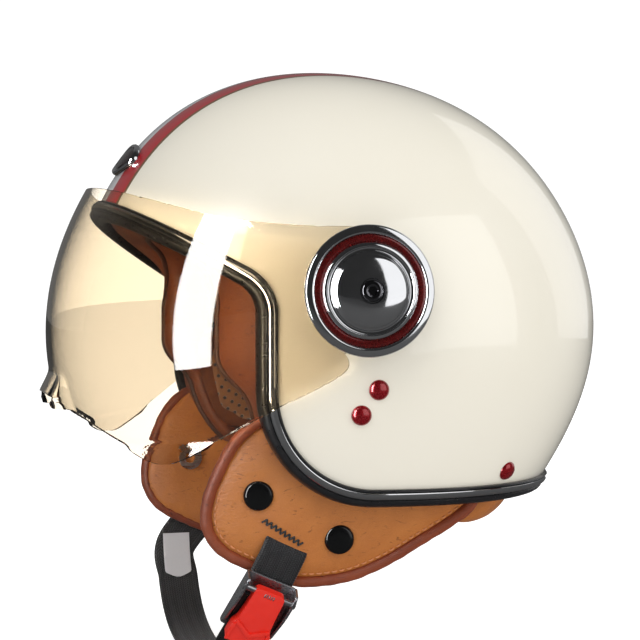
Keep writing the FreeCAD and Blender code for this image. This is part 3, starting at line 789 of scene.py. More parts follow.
def plastic(name, light, dark, rough=(0.26, 0.4), grain=0.02):
    """Moulded plastic with a faint spark-eroded grain."""
    f = Finish(name, Specular_IOR_Level=0.5)
    f.drive("Base Color", f.mix(f.noise(0.06, 3.0), dark, light))
    f.drive("Roughness", f.span(f.noise(0.5, 4.0), 0.3, 0.7, *rough))
    f.drive("Normal", f.bump(f.noise(2.5, 2.0), grain))
    return f.material


def metal(name, colour, rough=(0.22, 0.38), brush=(1.0, 0.06, 1.0)):
    """Plain or brushed metal with fine drawn lines."""
    f = Finish(name, Metallic=1.0)
    lines = f.noise(2.6, 4.0, 0.6, where=f.stretched(brush))
    dark = tint(*[int(c * 0.8) for c in colour])
    f.drive("Base Color", f.mix(lines, dark, tint(*colour)))
    f.drive("Roughness", f.span(lines, 0.25, 0.75, *rough))
    f.drive("Normal", f.bump(lines, 0.012))
    return f.material


def lacquer(name, light, dark):
    """Deep coloured lacquer over metal."""
    f = Finish(name, Metallic=0.55, Coat_Weight=1.0, Coat_Roughness=0.02)
    f.drive("Base Color", f.mix(f.noise(0.5, 3.0), dark, light))
    f.drive("Roughness", f.span(f.noise(1.2, 2.0), 0.3, 0.7, 0.2, 0.32))
    return f.material


def thread(name, light, dark):
    f = Finish(name, Roughness=0.7, Sheen_Weight=0.2)
    strand = f.noise(3.5, 3.0, 0.7)
    f.drive("Base Color", f.mix(strand, dark, light))
    f.drive("Normal", f.bump(strand, 0.08))
    return f.material


def ray_share(tree, diffuse, glossy, through, camera):
    """A value for each kind of ray that meets the backdrop."""
    path = tree.nodes.new("ShaderNodeLightPath").outputs

    def sums(*terms):
        """Clamped sum of (socket or number, factor) products."""
        total = 0.0
        for value, factor in terms:
            made = tree.nodes.new("ShaderNodeMath")
            made.operation = "MULTIPLY_ADD"
            made.use_clamp = len(terms) > 1 and value is terms[-1][0]
            put(tree, made.inputs[0], value)
            put(tree, made.inputs[1], factor)
            put(tree, made.inputs[2], total)
            total = made.outputs[0]
        return total

    passed = path["Is Transmission Ray"]
    mirrored_out = sums((path["Is Glossy Ray"], 1.0), (passed, path["Glossy Depth"]))
    straight = sums((passed, 1.0), (path["Glossy Depth"], -1.0), (path["Diffuse Depth"], -1.0))
    last = diffuse
    kinds = ((mirrored_out, glossy), (straight, through), (path["Is Camera Ray"], camera))
    for share, value in kinds:
        made = tree.nodes.new("ShaderNodeMix")
        put(tree, made.inputs[0], share)
        put(tree, made.inputs[2], last)
        put(tree, made.inputs[3], value)
        last = made.outputs[0]
    return last


AMBER = (0.83, 0.745, 0.61, 1.0)
EDGE_BROWN = (0.6, 0.45, 0.3, 1.0)


def visor_plastic():
    """Amber tinted clear polycarbonate that lets the lamps through."""
    f = Finish("visor_clear", Roughness=0.0, IOR=1.5, Transmission_Weight=1.0)
    deeper = tuple(c * 0.97 for c in AMBER[:3]) + (1.0,)
    turned = f.tree.nodes.new("ShaderNodeLayerWeight").outputs["Facing"]
    even = f.mix(f.noise(0.01, 2.0), deeper, AMBER)
    f.drive("Base Color", f.mix(f.span(turned, 0.86, 1.0), even, EDGE_BROWN))
    path = f.tree.nodes.new("ShaderNodeLightPath")
    clear = f.tree.nodes.new("ShaderNodeBsdfTransparent")
    clear.inputs["Color"].default_value = AMBER
    both = f.tree.nodes.new("ShaderNodeMixShader")
    f.tree.links.new(path.outputs["Is Shadow Ray"], both.inputs[0])
    f.tree.links.new(f.shader.outputs[0], both.inputs[1])
    f.tree.links.new(clear.outputs[0], both.inputs[2])
    f.tree.links.new(both.outputs[0], f.tree.nodes["Material Output"].inputs["Surface"])
    return f.material


LOOKS = {
    "shell_paint": shell_paint(),
    "trim_rubber": rubber(),
    "chrome": chrome(),
    "dark_chrome": chrome("dark_chrome", (110, 110, 114), (0.05, 0.12)),
    "tan_leather": leather("tan_leather", tint(204, 126, 54), tint(180, 104, 40)),
    "band_leather": leather("band_leather", tint(134, 66, 26), tint(106, 48, 18), 0.1, (0.5, 0.66)),
    "dark_leather": leather("dark_leather", tint(84, 42, 22), tint(58, 28, 16), 0.1),
    "red_leather": leather("red_leather", tint(154, 72, 32), tint(124, 50, 20), 0.12),
    "suede": suede("suede", tint(104, 50, 26), tint(70, 30, 15)),
    "rust_suede": suede("rust_suede", tint(124, 70, 38), tint(92, 46, 26)),
    "perforated": perforated(),
    "webbing": webbing(),
    "foam": foam(),
    "black_plastic": plastic("black_plastic", tint(30, 30, 33), tint(18, 18, 20)),
    "red_plastic": plastic("red_plastic", tint(240, 42, 20), tint(228, 32, 16), (0.3, 0.42)),
    "accent_red": lacquer("accent_red", tint(120, 8, 6), tint(60, 2, 3)),
    "rivet_red": lacquer("rivet_red", tint(176, 8, 26), tint(130, 2, 16)),
    "snap_black": plastic("snap_black", tint(16, 17, 18), tint(9, 9, 10), (0.1, 0.2), 0.004),
    "badge_dark": plastic("badge_dark", tint(46, 34, 34), tint(24, 18, 20), (0.12, 0.2), 0.004),
    "steel": metal("steel", (190, 191, 195)),
    "brass": metal("brass", (200, 160, 84), brush=(1.0, 1.0, 1.0)),
    "thread_tan": thread("thread_tan", tint(226, 152, 92), tint(190, 112, 60)),
    "thread_black": thread("thread_black", tint(22, 22, 24), tint(8, 8, 9)),
    "label_cloth": thread("label_cloth", tint(226, 226, 230), tint(206, 206, 212)),
    "visor_clear": visor_plastic(),
}
# The one material slot whose finish has another name.
SEWING = {"thread": "thread_black"}


def dress_cad_nodes():
    """Give every CAD node the finish of the material slot that the record names for it."""
    slots = {part["node"]: part["material_slot"] for part in frame["record"]["subparts"]}
    for name, node in frame["nodes"].items():
        node.data.materials.clear()
        node.data.materials.append(LOOKS[SEWING.get(slots[name], slots[name])])


# ---- Shell and rim ----------------------------------------------------------
SHELL_EDGE = 2.0
SHELL_WALL = 4.0


def build_shell():
    ways, quads = cube_sphere(SHELL_CELLS)
    ways, faces = clipped(shell_form, ways, quads, lambda p: rim_depth(p) - SHELL_EDGE)
    shell = make("shell_skin", shell_form.cast(ways), faces, LOOKS["shell_paint"],
                 slot="shell_paint", smooth_angle=0)
    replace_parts(shell, "outer_shell")
    return solidify(shell, SHELL_WALL, smooth_angle=50)


TRIM_SECTION = [
    (8.6, 0.1), (8.5, 1.0), (8.2, 1.7), (7.7, 2.1), (7.3, 1.9), (7.2, 1.3), (3.2, 1.3), (3.1, 2.0),
    (2.7, 2.4), (2.0, 2.5), (1.0, 2.3), (0.2, 1.6), (-0.3, 0.6), (-0.5, -1.0), (-0.5, -3.0),
    (-0.2, -5.0), (0.5, -6.3),
    (1.8, -7.0), (4.5, -7.0), (7.6, -6.8), (8.4, -6.2), (8.5, -5.2), (8.2, -4.5), (5.0, -4.3), (2.4, -4.3),
    (2.1, -3.6), (2.0, -1.5), (2.1, 0.0), (5.0, 0.1),
]
STRIP_SECTION = [
    (3.35, 1.4), (3.3, 2.0), (3.7, 2.6), (4.4, 2.95), (5.2, 3.05), (6.0, 2.95), (6.7, 2.6),
    (7.1, 2.0), (7.05, 1.4),
]
STRIP_REAR_Y = 98.0


def rim_stretch(grid, keep):
    """The rows of a rim grid for which keep(points) holds, in order, starting on the right."""
    half = RIM_TOTAL // 2
    rolled = np.roll(grid, half, axis=0)
    good = keep(rolled.mean(axis=1))
    return rolled[good]


def build_rim():
    trim = make("rim_rubber", *grid_tube(rim_grid(TRIM_SECTION)), LOOKS["trim_rubber"], slot="trim_rubber")
    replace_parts(fix_normals(trim), "edge_trim")
    grid = rim_stretch(rim_grid(STRIP_SECTION), lambda p: (p[:, 1] < STRIP_REAR_Y) | (p[:, 2] > 60))
    strip = make("rim_strip", *grid_tube(grid, closed=False), LOOKS["chrome"], slot="chrome")
    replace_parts(fix_normals(strip), "trim_strip")


# ---- Lining -----------------------------------------------------------------
BROW_SECTION = [
    (3.0, -8.2), (2.3, -12.0), (2.3, -18.0), (3.2, -25.0), (6.0, -31.5), (10.0, -35.5), (16.0, -37.6),
    (24.0, -38.2), (31.0, -37.6), (34.6, -35.8), (35.0, -33.2), (32.0, -31.0), (24.0, -30.6), (14.6, -30.6),
    (13.4, -26.0), (13.2, -16.0), (13.0, -9.0), (8.0, -7.8),
]
CHEEK_SECTION = [
    (3.0, -8.2), (2.4, -13.0), (2.2, -19.0), (2.4, -25.0), (3.0, -31.0), (4.4, -35.5), (6.6, -38.2),
    (9.0, -38.6), (11.0, -37.4), (12.4, -35.4), (13.0, -33.2), (13.0, -30.0), (13.0, -26.0), (13.0, -22.0),
    (13.0, -18.0), (13.0, -13.0), (12.8, -9.0), (8.0, -7.8),
]
# Where the band bulges forward of the rim beside the temple.
TEMPLE_SECTION = [
    (3.0, -8.2), (1.5, -10.0), (-3.5, -13.5), (-9.5, -18.5), (-13.0, -25.0), (-12.5, -31.0), (-8.5, -36.0),
    (-1.0, -38.4), (8.0, -38.6), (12.0, -37.6), (13.0, -35.2), (13.4, -31.0), (13.4, -27.0), (13.4, -23.0),
    (13.2, -18.0), (13.0, -13.0), (12.8, -9.0), (8.0, -7.8),
]


def ripple(points, size, *waves):
    """Uneven folds: a few crossed sine waves along given directions."""
    total = np.zeros(len(points))
    for way, length, phase in waves:
        total += np.sin(points @ np.array(way, float) * (2 * math.pi / length) + phase)
    return total * size / len(waves)


def round_ended(grid, rows, least, swell=1.0):
    """Draw the sections in over a number of rows at both ends, and scale them all by swell."""
    count = len(grid)
    run = np.minimum(np.arange(count), np.arange(count)[::-1]) / rows
    tight = np.sqrt(np.clip(1 - (1 - np.clip(run, 0, 1)) ** 2, least, 1))[:, None, None]
    centre = grid.mean(axis=1, keepdims=True)
    return centre + (grid - centre) * tight * swell


def build_brow_band():
    """Padded leather band behind the whole front edge, from jaw to jaw."""
    brow, cheek, temple = (np.roll(rim_grid(section), RIM_TOTAL // 2, axis=0)
                           for section in (BROW_SECTION, CHEEK_SECTION, TEMPLE_SECTION))
    middle = cheek.mean(axis=1)
    height = middle[:, 2]
    share = ramp(height, 96, 126)[:, None, None]
    bulge = (ramp(height, 56, 92) * ramp(height, 134, 108))[:, None, None]
    front = (middle[:, 1] < 10) & (height > 22)
    grid = cheek * (1 - share) + brow * share
    grid = (grid * (1 - bulge) + temple * bulge)[front]
    grid = round_ended(grid, 5.0, 0.04)
    # Gathers where the band is sewn to the crown lining.
    lengths = run_along(grid[:, 8])
    gather = np.sin(lengths / 5.2 + 1.5 * np.sin(lengths / 17.0)) * 0.8
    inward = FORM_CENTRE - grid
    inward /= np.linalg.norm(inward, axis=2, keepdims=True)
    weight = np.zeros(grid.shape[1])
    weight[5:11] = [0.25, 0.6, 0.9, 1.0, 0.9, 0.5]
    grid = grid + inward * (gather[:, None] * weight[None])[..., None] * share[front]
    welt = grid[:, 3:6].mean(axis=1)[6:-6]
    verts, faces = tube_along(welt + inward[6:-6, 4] * -0.6, 1.7, 10)
    make("brow_welt", verts, faces, LOOKS["dark_leather"], slot="tan_leather")
    band = make("brow_leather", *grid_tube(grid, closed=False), LOOKS["band_leather"],
                slot="tan_leather", smooth_angle=0)
    fix_normals(band)
    modifier = band.modifiers.new("smooth", "SUBSURF")
    modifier.levels = 1
    settle(band, 0)
    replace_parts(band, "brow_band")


def build_crown():
    """Suede crown lining in three panels with soft folds."""
    ways, quads = cube_sphere(CROWN_CELLS)
    inner = -36.0

    def field(points):
        return np.minimum(rim_depth(points) - 33.0, points[..., 2] - 74.0)

    class Inner:
        @staticmethod
        def cast(w):
            return shell_form.cast(w, inner)

    ways, faces = clipped(Inner, ways, quads, field)
    points = shell_form.cast(ways, inner)
    x, z = np.abs(points[:, 0]), points[:, 2]
    seam = np.exp(-((x - 36) / 2.2) ** 2) + np.exp(-((z - 118 - 0.1 * points[:, 1]) / 2.2) ** 2) * (x > 36)
    puff = 2.6 * (1 - np.clip(seam, 0, 1))
    folds = ripple(points, 1.5, ((0.9, 0.2, 0.3), 31, 0.4), ((0.2, 0.9, 0.5), 43, 1.7), ((0.6,
        -0.6, 0.5), 24, 2.9))
    radial = (FORM_CENTRE - points) / np.linalg.norm(FORM_CENTRE - points, axis=1, keepdims=True)
    points = points + radial * (puff + folds)[:, None]
    lining = make("crown_lining", points, faces, LOOKS["suede"], slot="suede", smooth_angle=0)
    solidify(lining, 2.4, inward=False, smooth_angle=0)
    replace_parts(lining, "crown_pad")


CLOTH_FRAMES = 20
CLOTH_MASS = 0.3
CLOTH_STIFFNESS = 15
CLOTH_PRESSURE = 4.0


def relaxed(obj, voxel, rise):
    """Padding swells its cover: remesh, a short cloth simulation with no gravity, then one subdivision."""
    remesh = obj.modifiers.new("voxels", "REMESH")
    remesh.mode = "VOXEL"
    remesh.voxel_size = voxel * MM
    settle(obj, 0)
    count = len(obj.data.vertices)
    rest = np.zeros(count * 3)
    obj.data.vertices.foreach_get("co", rest)
    rest = rest.reshape(-1, 3)
    if FINE:
        cloth = obj.modifiers.new("cover", "CLOTH")
        cloth.settings.quality = 4
        cloth.settings.mass = CLOTH_MASS
        cloth.settings.tension_stiffness = CLOTH_STIFFNESS
        cloth.settings.compression_stiffness = CLOTH_STIFFNESS
        cloth.settings.use_pressure = True
        cloth.settings.uniform_pressure_force = CLOTH_PRESSURE
        cloth.settings.effector_weights.gravity = 0
        cloth.collision_settings.use_collision = False
        cloth.point_cache.frame_start = 1
        cloth.point_cache.frame_end = CLOTH_FRAMES
        for step in range(1, CLOTH_FRAMES + 1):
            bpy.context.scene.frame_set(step)
        graph = bpy.context.evaluated_depsgraph_get()
        swollen = obj.evaluated_get(graph).to_mesh()
        moved = np.zeros(count * 3)
        swollen.vertices.foreach_get("co", moved)
        obj.evaluated_get(graph).to_mesh_clear()
        obj.modifiers.clear()
        bpy.context.scene.frame_set(1)
        shift = moved.reshape(-1, 3) - rest
        size = np.linalg.norm(shift, axis=1, keepdims=True) + 1e-9
        limit = rise * MM
        shift = shift / size * limit * np.tanh(size / limit)
        obj.data.vertices.foreach_set("co", (rest + shift).ravel())
        obj.data.update()
    modifier = obj.modifiers.new("even", "SMOOTH")
    modifier.factor = 0.5
    modifier.iterations = 3
    if FINE:
        modifier = obj.modifiers.new("fine", "SUBSURF")
        modifier.levels = 1
    return settle(obj, 0)


def pad_pair(name, verts, faces, look, slot, voxel, rise):
    """Soft piece on the left and its mirror image on the right, as (side, piece) pairs."""
    pads = []
    for side, (v, f) in (("left", (verts, faces)), ("right", mirrored(verts, faces))):
        pad = fix_normals(make(name + "_" + side, v, f, LOOKS[look], slot=slot, smooth_angle=0))
        relaxed(pad, voxel, rise)
        pads.append((side, pad))
    return pads


def polar_pad(outline, centre, front, back, rings=14):
    """Closed pad over a star-shaped outline; front and back give x from (y, z, share of the way out)."""
    outline = np.asarray(outline, float)
    count = len(outline)
    rows = [np.array(centre, float)[None]]
    shares = [np.zeros(1)]
    for ring in range(1, rings + 1):
        share = ring / rings
        rows.append(np.array(centre) + (outline - np.array(centre)) * share)
        shares.append(np.full(count, share))
    flat = np.concatenate(rows)
    share = np.concatenate(shares)
    total = len(flat)
    verts = np.concatenate([
        np.column_stack([front(flat[:, 0], flat[:, 1], share), flat]),
        np.column_stack([back(flat[:, 0], flat[:, 1], share), flat]),
    ])
    faces = []
    for side, base in ((1, 0), (-1, total)):
        for k in range(count):
            after = (k + 1) % count
            polygons = [(base, base + 1 + k, base + 1 + after)]
            for ring in range(rings - 1):
                low, high = base + 1 + ring * count, base + 1 + (ring + 1) * count
                polygons.append((low + k, high + k, high + after, low + after))
            faces += [p if side > 0 else p[::-1] for p in polygons]
    outer = 1 + (rings - 1) * count
    for k in range(count):
        after = (k + 1) % count
        faces.append((outer + k, total + outer + k, total + outer + after, outer + after))
    return verts, faces


FLAP_OUTLINE = [
    (-60, 48), (-74, 39), (-84, 20), (-88, 5), (-86.5, -6), (-80, -15), (-69, -21.5), (-49, -30),
    (-36, -32),
    (-18, -30), (-4, -25), (7, -19.5), (18, -13), (32, -5), (44, 4), (44, 15), (20, 17), (0, 18),
    (-28, 24), (-46, 38),
]
FLAP_THICK = 11.0
FLAP_MIDDLE = (-34.0, 2.0)
PIPING_RADIUS = 2.9
SNAP_SPOTS = [(-64.0, 12.0), (-24.0, -10.5)]


def flap_x(y, z):
    return flap_form.x_at(y, z)


def inset(outline, distance):
    """Closed side outline moved inwards along its normals."""
    outline = np.asarray(outline, float)
    way = tangents(outline)
    side = np.column_stack([-way[:, 1], way[:, 0]])
    middle = outline.mean(axis=0)
    if ((middle - outline) * side).sum() < 0:
        side = -side
    return outline + side * distance


def ray_onto(obj, points, way):
    """Where rays from points, in millimetres, meet a piece."""
    tree = BVHTree.FromPolygons([v.co[:] for v in obj.data.vertices],
                                [p.vertices[:] for p in obj.data.polygons])
    hits = []
    for point in points:
        hit, normal, _, _ = tree.ray_cast(Vector(point) * MM, Vector(way))
        hits.append((None, None) if hit is None else (np.array(hit) / MM, np.array(normal)))
    return hits


def stitches(path, normals, length=2.7, gap=1.1, radius=0.42):
    """Row of short raised stitches along a path."""
    path = np.asarray(path, float)
    steps = run_along(path)
    parts = []
    start = gap
    while start + length < steps[-1]:
        marks = start + length * np.array([0.0, 0.12, 0.32, 0.5, 0.68, 0.88, 1.0])
        rise = np.array([-0.25, 0.12, 0.38, 0.45, 0.38, 0.12, -0.25])
        size = radius * np.array([0.45, 0.85, 1.0, 1.0, 1.0, 0.85, 0.45])
        points = np.column_stack([np.interp(marks, steps, path[:, k]) for k in range(3)])
        out = np.column_stack([np.interp(marks, steps, normals[:, k]) for k in range(3)])
        up = out / np.linalg.norm(out, axis=1, keepdims=True)
        parts.append(tube_along(points + up * rise[:, None], size, sides=6, up=up))
        start += length + gap
    return joined(parts)


BAR_TACK_TEETH = 17
FLAP_SEAM_INSET = 4.2
FLAP_SEAM_TOP = 16


def build_flaps():
    outline = resample(smooth_curve(FLAP_OUTLINE, 12, closed=True), 150, closed=True)
    pad_outline = inset(outline, -0.7)

    def front(y, z, share):
        lift = 2.0 * (1 - share ** 3)
        dent = 1.6 * np.exp(-(((y + 64) / 9) ** 2 + ((z - 12) / 9) ** 2))
        dent += 1.6 * np.exp(-(((y + 24) / 9) ** 2 + ((z + 10.5) / 9) ** 2))
        fold = (0.8 * np.sin((y * 0.42 + z * 0.9) / 4.6)
                * np.exp(-(((y + 40) / 24) ** 2 + ((z + 4) / 12) ** 2)))
        return flap_x(y, z) - 1.6 + lift - dent + fold - 2.2 * share ** 8

    def back(y, z, share):
        return flap_x(y, z) - FLAP_THICK + 0.5 - 1.2 * (1 - share ** 2) + 2.6 * share ** 8

    verts, faces = polar_pad(pad_outline, FLAP_MIDDLE, front, back)
    flaps = pad_pair("flap_leather", verts, faces, "tan_leather", "tan_leather", 2.8, 1.2)
    for side, flap in flaps:
        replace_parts(flap, "ear_flap_" + side)
    near = flaps[0][1]

    edge = resample(smooth_curve(FLAP_OUTLINE, 12, closed=True), 260, closed=True)
    x = flap_x(edge[:, 0], edge[:, 1]) - 3.0
    path = np.column_stack([x, edge])
    wobble = 1 + 0.05 * np.sin(np.arange(len(path)) * 0.9) * np.sin(np.arange(len(path)) * 0.23)
    verts, faces = tube_along(path, PIPING_RADIUS * wobble, 16, closed=True, squeeze=(1.0, 1.15))
    both_sides("flap_binding", verts, faces, LOOKS["red_leather"], "red_leather", "flap_piping")

    seam = inset(edge, FLAP_SEAM_INSET)
    open_run = seam[:, 1] < FLAP_SEAM_TOP
    start = int(np.argmax(~open_run))
    seam = np.roll(seam, -start, axis=0)
    keep = np.roll(open_run, -start)
    seam = seam[keep]
    hits = ray_onto(near, [(130.0, y, z) for y, z in seam], (-1, 0, 0))
    good = [(p, n) for p, n in hits if p is not None and p[0] > 70]
    path = np.array([p for p, _ in good])
    normals = np.array([n if n[0] > 0 else -n for _, n in good])
    verts, faces = stitches(path, normals)
    both_sides("flap_stitches", verts, faces, LOOKS["thread_tan"], "thread", finish=None)

    snaps = []
    for y, z in SNAP_SPOTS:
        point, _ = ray_onto(near, [(130.0, y, z)], (-1, 0, 0))[0]
        profile = rounded([(0, 2.5), (4.0, 2.45), (6.2, 2.2), (7.1, 1.3), (7.4, 0.4), (7.0, -0.6),
                           (6.6, -1.4)], 0.9)
        head, rows = lathe([(r, h) for r, h in profile], 64)
        snaps.append((placed(head, point + np.array([0.2, 0, 0]), (1, -0.12, 0.02)), rows))
    verts, faces = joined(snaps)
    both_sides("snap_heads", verts, faces, LOOKS["snap_black"], "snap_black", "snap_caps")

    start = np.array([-61.5, 0.0])
    end = np.array([-42.6, -12.6])
    across = np.array([-(end - start)[1], (end - start)[0]]) / np.linalg.norm(end - start) * 1.35
    zigzag = [start + (end - start) * k / BAR_TACK_TEETH + (across if k % 2 else -across)
              for k in range(BAR_TACK_TEETH + 1)]
    zigzag = resample(np.array(zigzag), 90)
    hits = ray_onto(near, [(130.0, y, z) for y, z in zigzag], (-1, 0, 0))
    path = np.array([p + np.array([0.25, 0, 0]) for p, _ in hits if p is not None])
    verts, faces = tube_along(path, 0.5, 8)
    both_sides("bar_stitches", verts, faces, LOOKS["thread_black"], "thread", "bar_tack")


CHEEK_PANEL_RINGS = 14
CHEEK_PANEL_COUNT = 90
CHEEK_OUTLINE = [(-57, 84), (-57, 42), (-50, 31), (-36, 27), (30, 27), (42, 36), (44, 78), (36, 84)]


def build_cheeks():
    outline = resample(smooth_curve(CHEEK_OUTLINE, 10, closed=True), 120, closed=True)

    def front(y, z, share):
        return np.full_like(y, 65.5) - 2.5 * (1 - share ** 4)

    def back(y, z, share):
        return np.maximum(shell_form.x_at(y, z, -32.0), 68.0)

    verts, faces = polar_pad(outline, (-6.0, 56.0), front, back, 12)
    faces = [tuple(reversed(f)) for f in faces]
    pads = pad_pair("cheek_cushion", verts, faces, "rust_suede", "suede", 4.5, 2.2)
    for side, pad in pads:
        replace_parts(pad, "cheek_pad_" + side)
    near = pads[0][1]

    panel = smooth_curve([(-50, 78), (-50, 46), (-42, 38), (-32, 34), (0, 34), (8, 44), (8, 72),
                          (0, 79)], 8, closed=True)
    panel = resample(panel, CHEEK_PANEL_COUNT, closed=True)
    middle = np.array([-20.0, 57.0])
    rings, around = range(1, CHEEK_PANEL_RINGS + 1), range(CHEEK_PANEL_COUNT)
    flat = np.concatenate([middle[None]]
                          + [middle + (panel - middle) * k / CHEEK_PANEL_RINGS for k in rings])
    hits = ray_onto(near, [(0.0, y, z) for y, z in flat], (1, 0, 0))
    x = np.array([p[0] if p is not None else 64.0 for p, _ in hits])
    share = np.concatenate([[0]] + [np.full(len(panel), k / CHEEK_PANEL_RINGS) for k in rings])
    verts = np.column_stack([x - 0.9 + 0.7 * share ** 10, flat])
    after = [(k + 1) % CHEEK_PANEL_COUNT for k in around]
    faces = [(0, 1 + after[k], 1 + k) for k in around]
    for ring in range(CHEEK_PANEL_RINGS - 1):
        low, high = 1 + ring * CHEEK_PANEL_COUNT, 1 + (ring + 1) * CHEEK_PANEL_COUNT
        faces += [(low + k, low + after[k], high + after[k], high + k) for k in around]
    both_sides("cheek_panel", verts, faces, LOOKS["perforated"], "tan_leather", "cheek_mesh",
               finish=lambda o: solidify(fix_normals(o), 0.8, smooth_angle=0))


def build_neck_roll():
    """Leather roll under the rear hem, tapered off behind the ears."""
    section = []
    for k in range(20):
        turn = 2 * math.pi * k / 20
        wide = 11.8 * math.copysign(abs(math.cos(turn)) ** 0.8, math.cos(turn))
        section.append((-5.0 + wide, -17.0 + 8.6 * math.copysign(abs(math.sin(turn)) ** 0.85,
            math.sin(turn))))
    grid = rim_grid(section)
    middle = grid.mean(axis=1)
    rear = (middle[:, 1] > 50) & (middle[:, 2] < 40)
    grid = grid[rear]
    pleat = 1 + 0.02 * np.sin(np.arange(len(grid)) * 0.8)[:, None, None]
    grid = round_ended(grid, 9.0, 0.03, pleat)
    roll = make("neck_leather", *grid_tube(grid, closed=False), LOOKS["tan_leather"],
                slot="tan_leather", smooth_angle=0)
    fix_normals(roll)
    relaxed(roll, 4.0, 1.5)
    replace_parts(roll, "neck_roll")


# ---- Visor ------------------------------------------------------------------
VISOR_TOP = [(-20, 141), (-50, 141.6), (-76, 144), (-92, 147.5), (-110, 153.3), (-135, 162.5), (-190, 184)]
VISOR_HEM = [
    (-190, 70), (-152, 60), (-147, 52), (-136, 43), (-121, 34), (-107, 30.5), (-97, 33.5), (-84,
        41), (-60, 56), (-30, 73),
]
VISOR_EAR = 30.0
STEP_LINE = [(66, -54), (81, -49.7), (98, -48.4), (113.5, -51), (122, -54), (130.6, -58.5), (137,
    -65), (144, -77)]


def visor_outline():
    foot = math.radians(-68)
    turns = np.linspace(foot, -math.pi * 1.5, 60)
    ear = [(PIVOT[1] - VISOR_EAR * math.cos(t), PIVOT[2] + VISOR_EAR * math.sin(t)) for t in turns]
    top = smooth_curve(VISOR_TOP, 10)
    hem = smooth_curve(VISOR_HEM + [ear[0]], 10)
    return np.array(hem), np.concatenate([hem, ear, top])


VISOR_HEM_LINE, VISOR_EDGE = visor_outline()


def line_distance(flat, line, closed=False):
    """Unsigned distance from points to a polyline."""
    line = np.asarray(line, float)
    if closed:
        line = np.concatenate([line, line[:1]])
    best = np.full(len(flat), 1e9)
    for a, b in zip(line, line[1:]):
        way = b - a
        t = np.clip(((flat - a) @ way) / (way @ way + 1e-12), 0, 1)
        best = np.minimum(best, np.linalg.norm(flat - a - t[:, None] * way, axis=1))
    return best


def inside_outline(flat, line):
    inside = np.zeros(len(flat), bool)
    for (ay, az), (by, bz) in zip(line, np.roll(line, -1, axis=0)):
        crosses = (az > flat[:, 1]) != (bz > flat[:, 1])
        at = ay + (flat[:, 1] - az) / (bz - az + 1e-12) * (by - ay)
        inside ^= crosses & (flat[:, 0] < at)
    return inside


def visor_field(points):
    flat = points[:, 1:3]
    distance = line_distance(flat, VISOR_EDGE, closed=True)
    return np.where(inside_outline(flat, VISOR_EDGE), distance, -distance)


LOBE_A, LOBE_B = np.array([-123.0, 36.5]), np.array([-85.5, 40.5])


def build_visor():
    """Bubble visor with round ears, a moulded step and three turned-out lips along its hem."""
    ways, quads = cube_sphere(VISOR_CELLS)
    ways, faces = clipped(visor_form, ways, quads, visor_field)
    points = visor_form.cast(ways)
    normals = visor_form.normal(points)
    flat = points[:, 1:3]
    from_hem = line_distance(flat, VISOR_HEM_LINE)
    across = LOBE_B - LOBE_A
    down = np.array([across[1], -across[0]]) / np.linalg.norm(across)
    below = (flat - LOBE_A) @ down
    lobe = np.clip(below, 0, 9) * ramp(below, 0, 3) * ramp(flat[:, 0], -130, -120) * ramp(flat[:,
        0], -78, -90)
    nose = 7.0 * np.clip(1 - from_hem / 8.0, 0, 1) ** 1.5 * (flat[:, 0] < -120)
    nose = nose * ramp(np.abs(points[:, 0]), 30, 17)
    lift = 0.8 * lobe + nose
    zs, ys = np.array(STEP_LINE, float).T
    beyond = flat[:, 0] - np.interp(flat[:, 1], zs, ys)
    radius = np.linalg.norm(flat - PIVOT[1:], axis=1)
    lift = lift + 0.7 * ramp(beyond, -0.8, 0.8) * ramp(radius, 24, 30)
    lens = make("visor_bubble", points + normals * lift[:, None], faces, LOOKS["visor_clear"],
                "visor", "visor_clear", 0)
    welded(lens, 0.4)
    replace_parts(lens, "visor_lens")
    return solidify(lens, VISOR_WALL, smooth_angle=35, even=False)


# ---- Pivots -----------------------------------------------------------------
CAP_FOOT_X = 128.6
CAP_LEAN = math.radians(5)
CAP_WAY = np.array([1.0, -math.sin(CAP_LEAN) * 0.85, math.sin(CAP_LEAN) * 0.5])
CAP_PROFILE = [
    (26.4, 1.0), (28.2, 0.4), (30.2, 0.4), (31.0, 1.2), (31.0, 3.2), (30.3, 4.3), (27.4, 4.7), (26.6, 4.2),
    (26.5, 3.4), (23.0, 3.4), (22.7, 4.6), (22.2, 5.3), (20.8, 5.7), (20.3, 5.1), (18.8, 5.0),
    (18.3, 5.9), (17.3, 6.3),
]


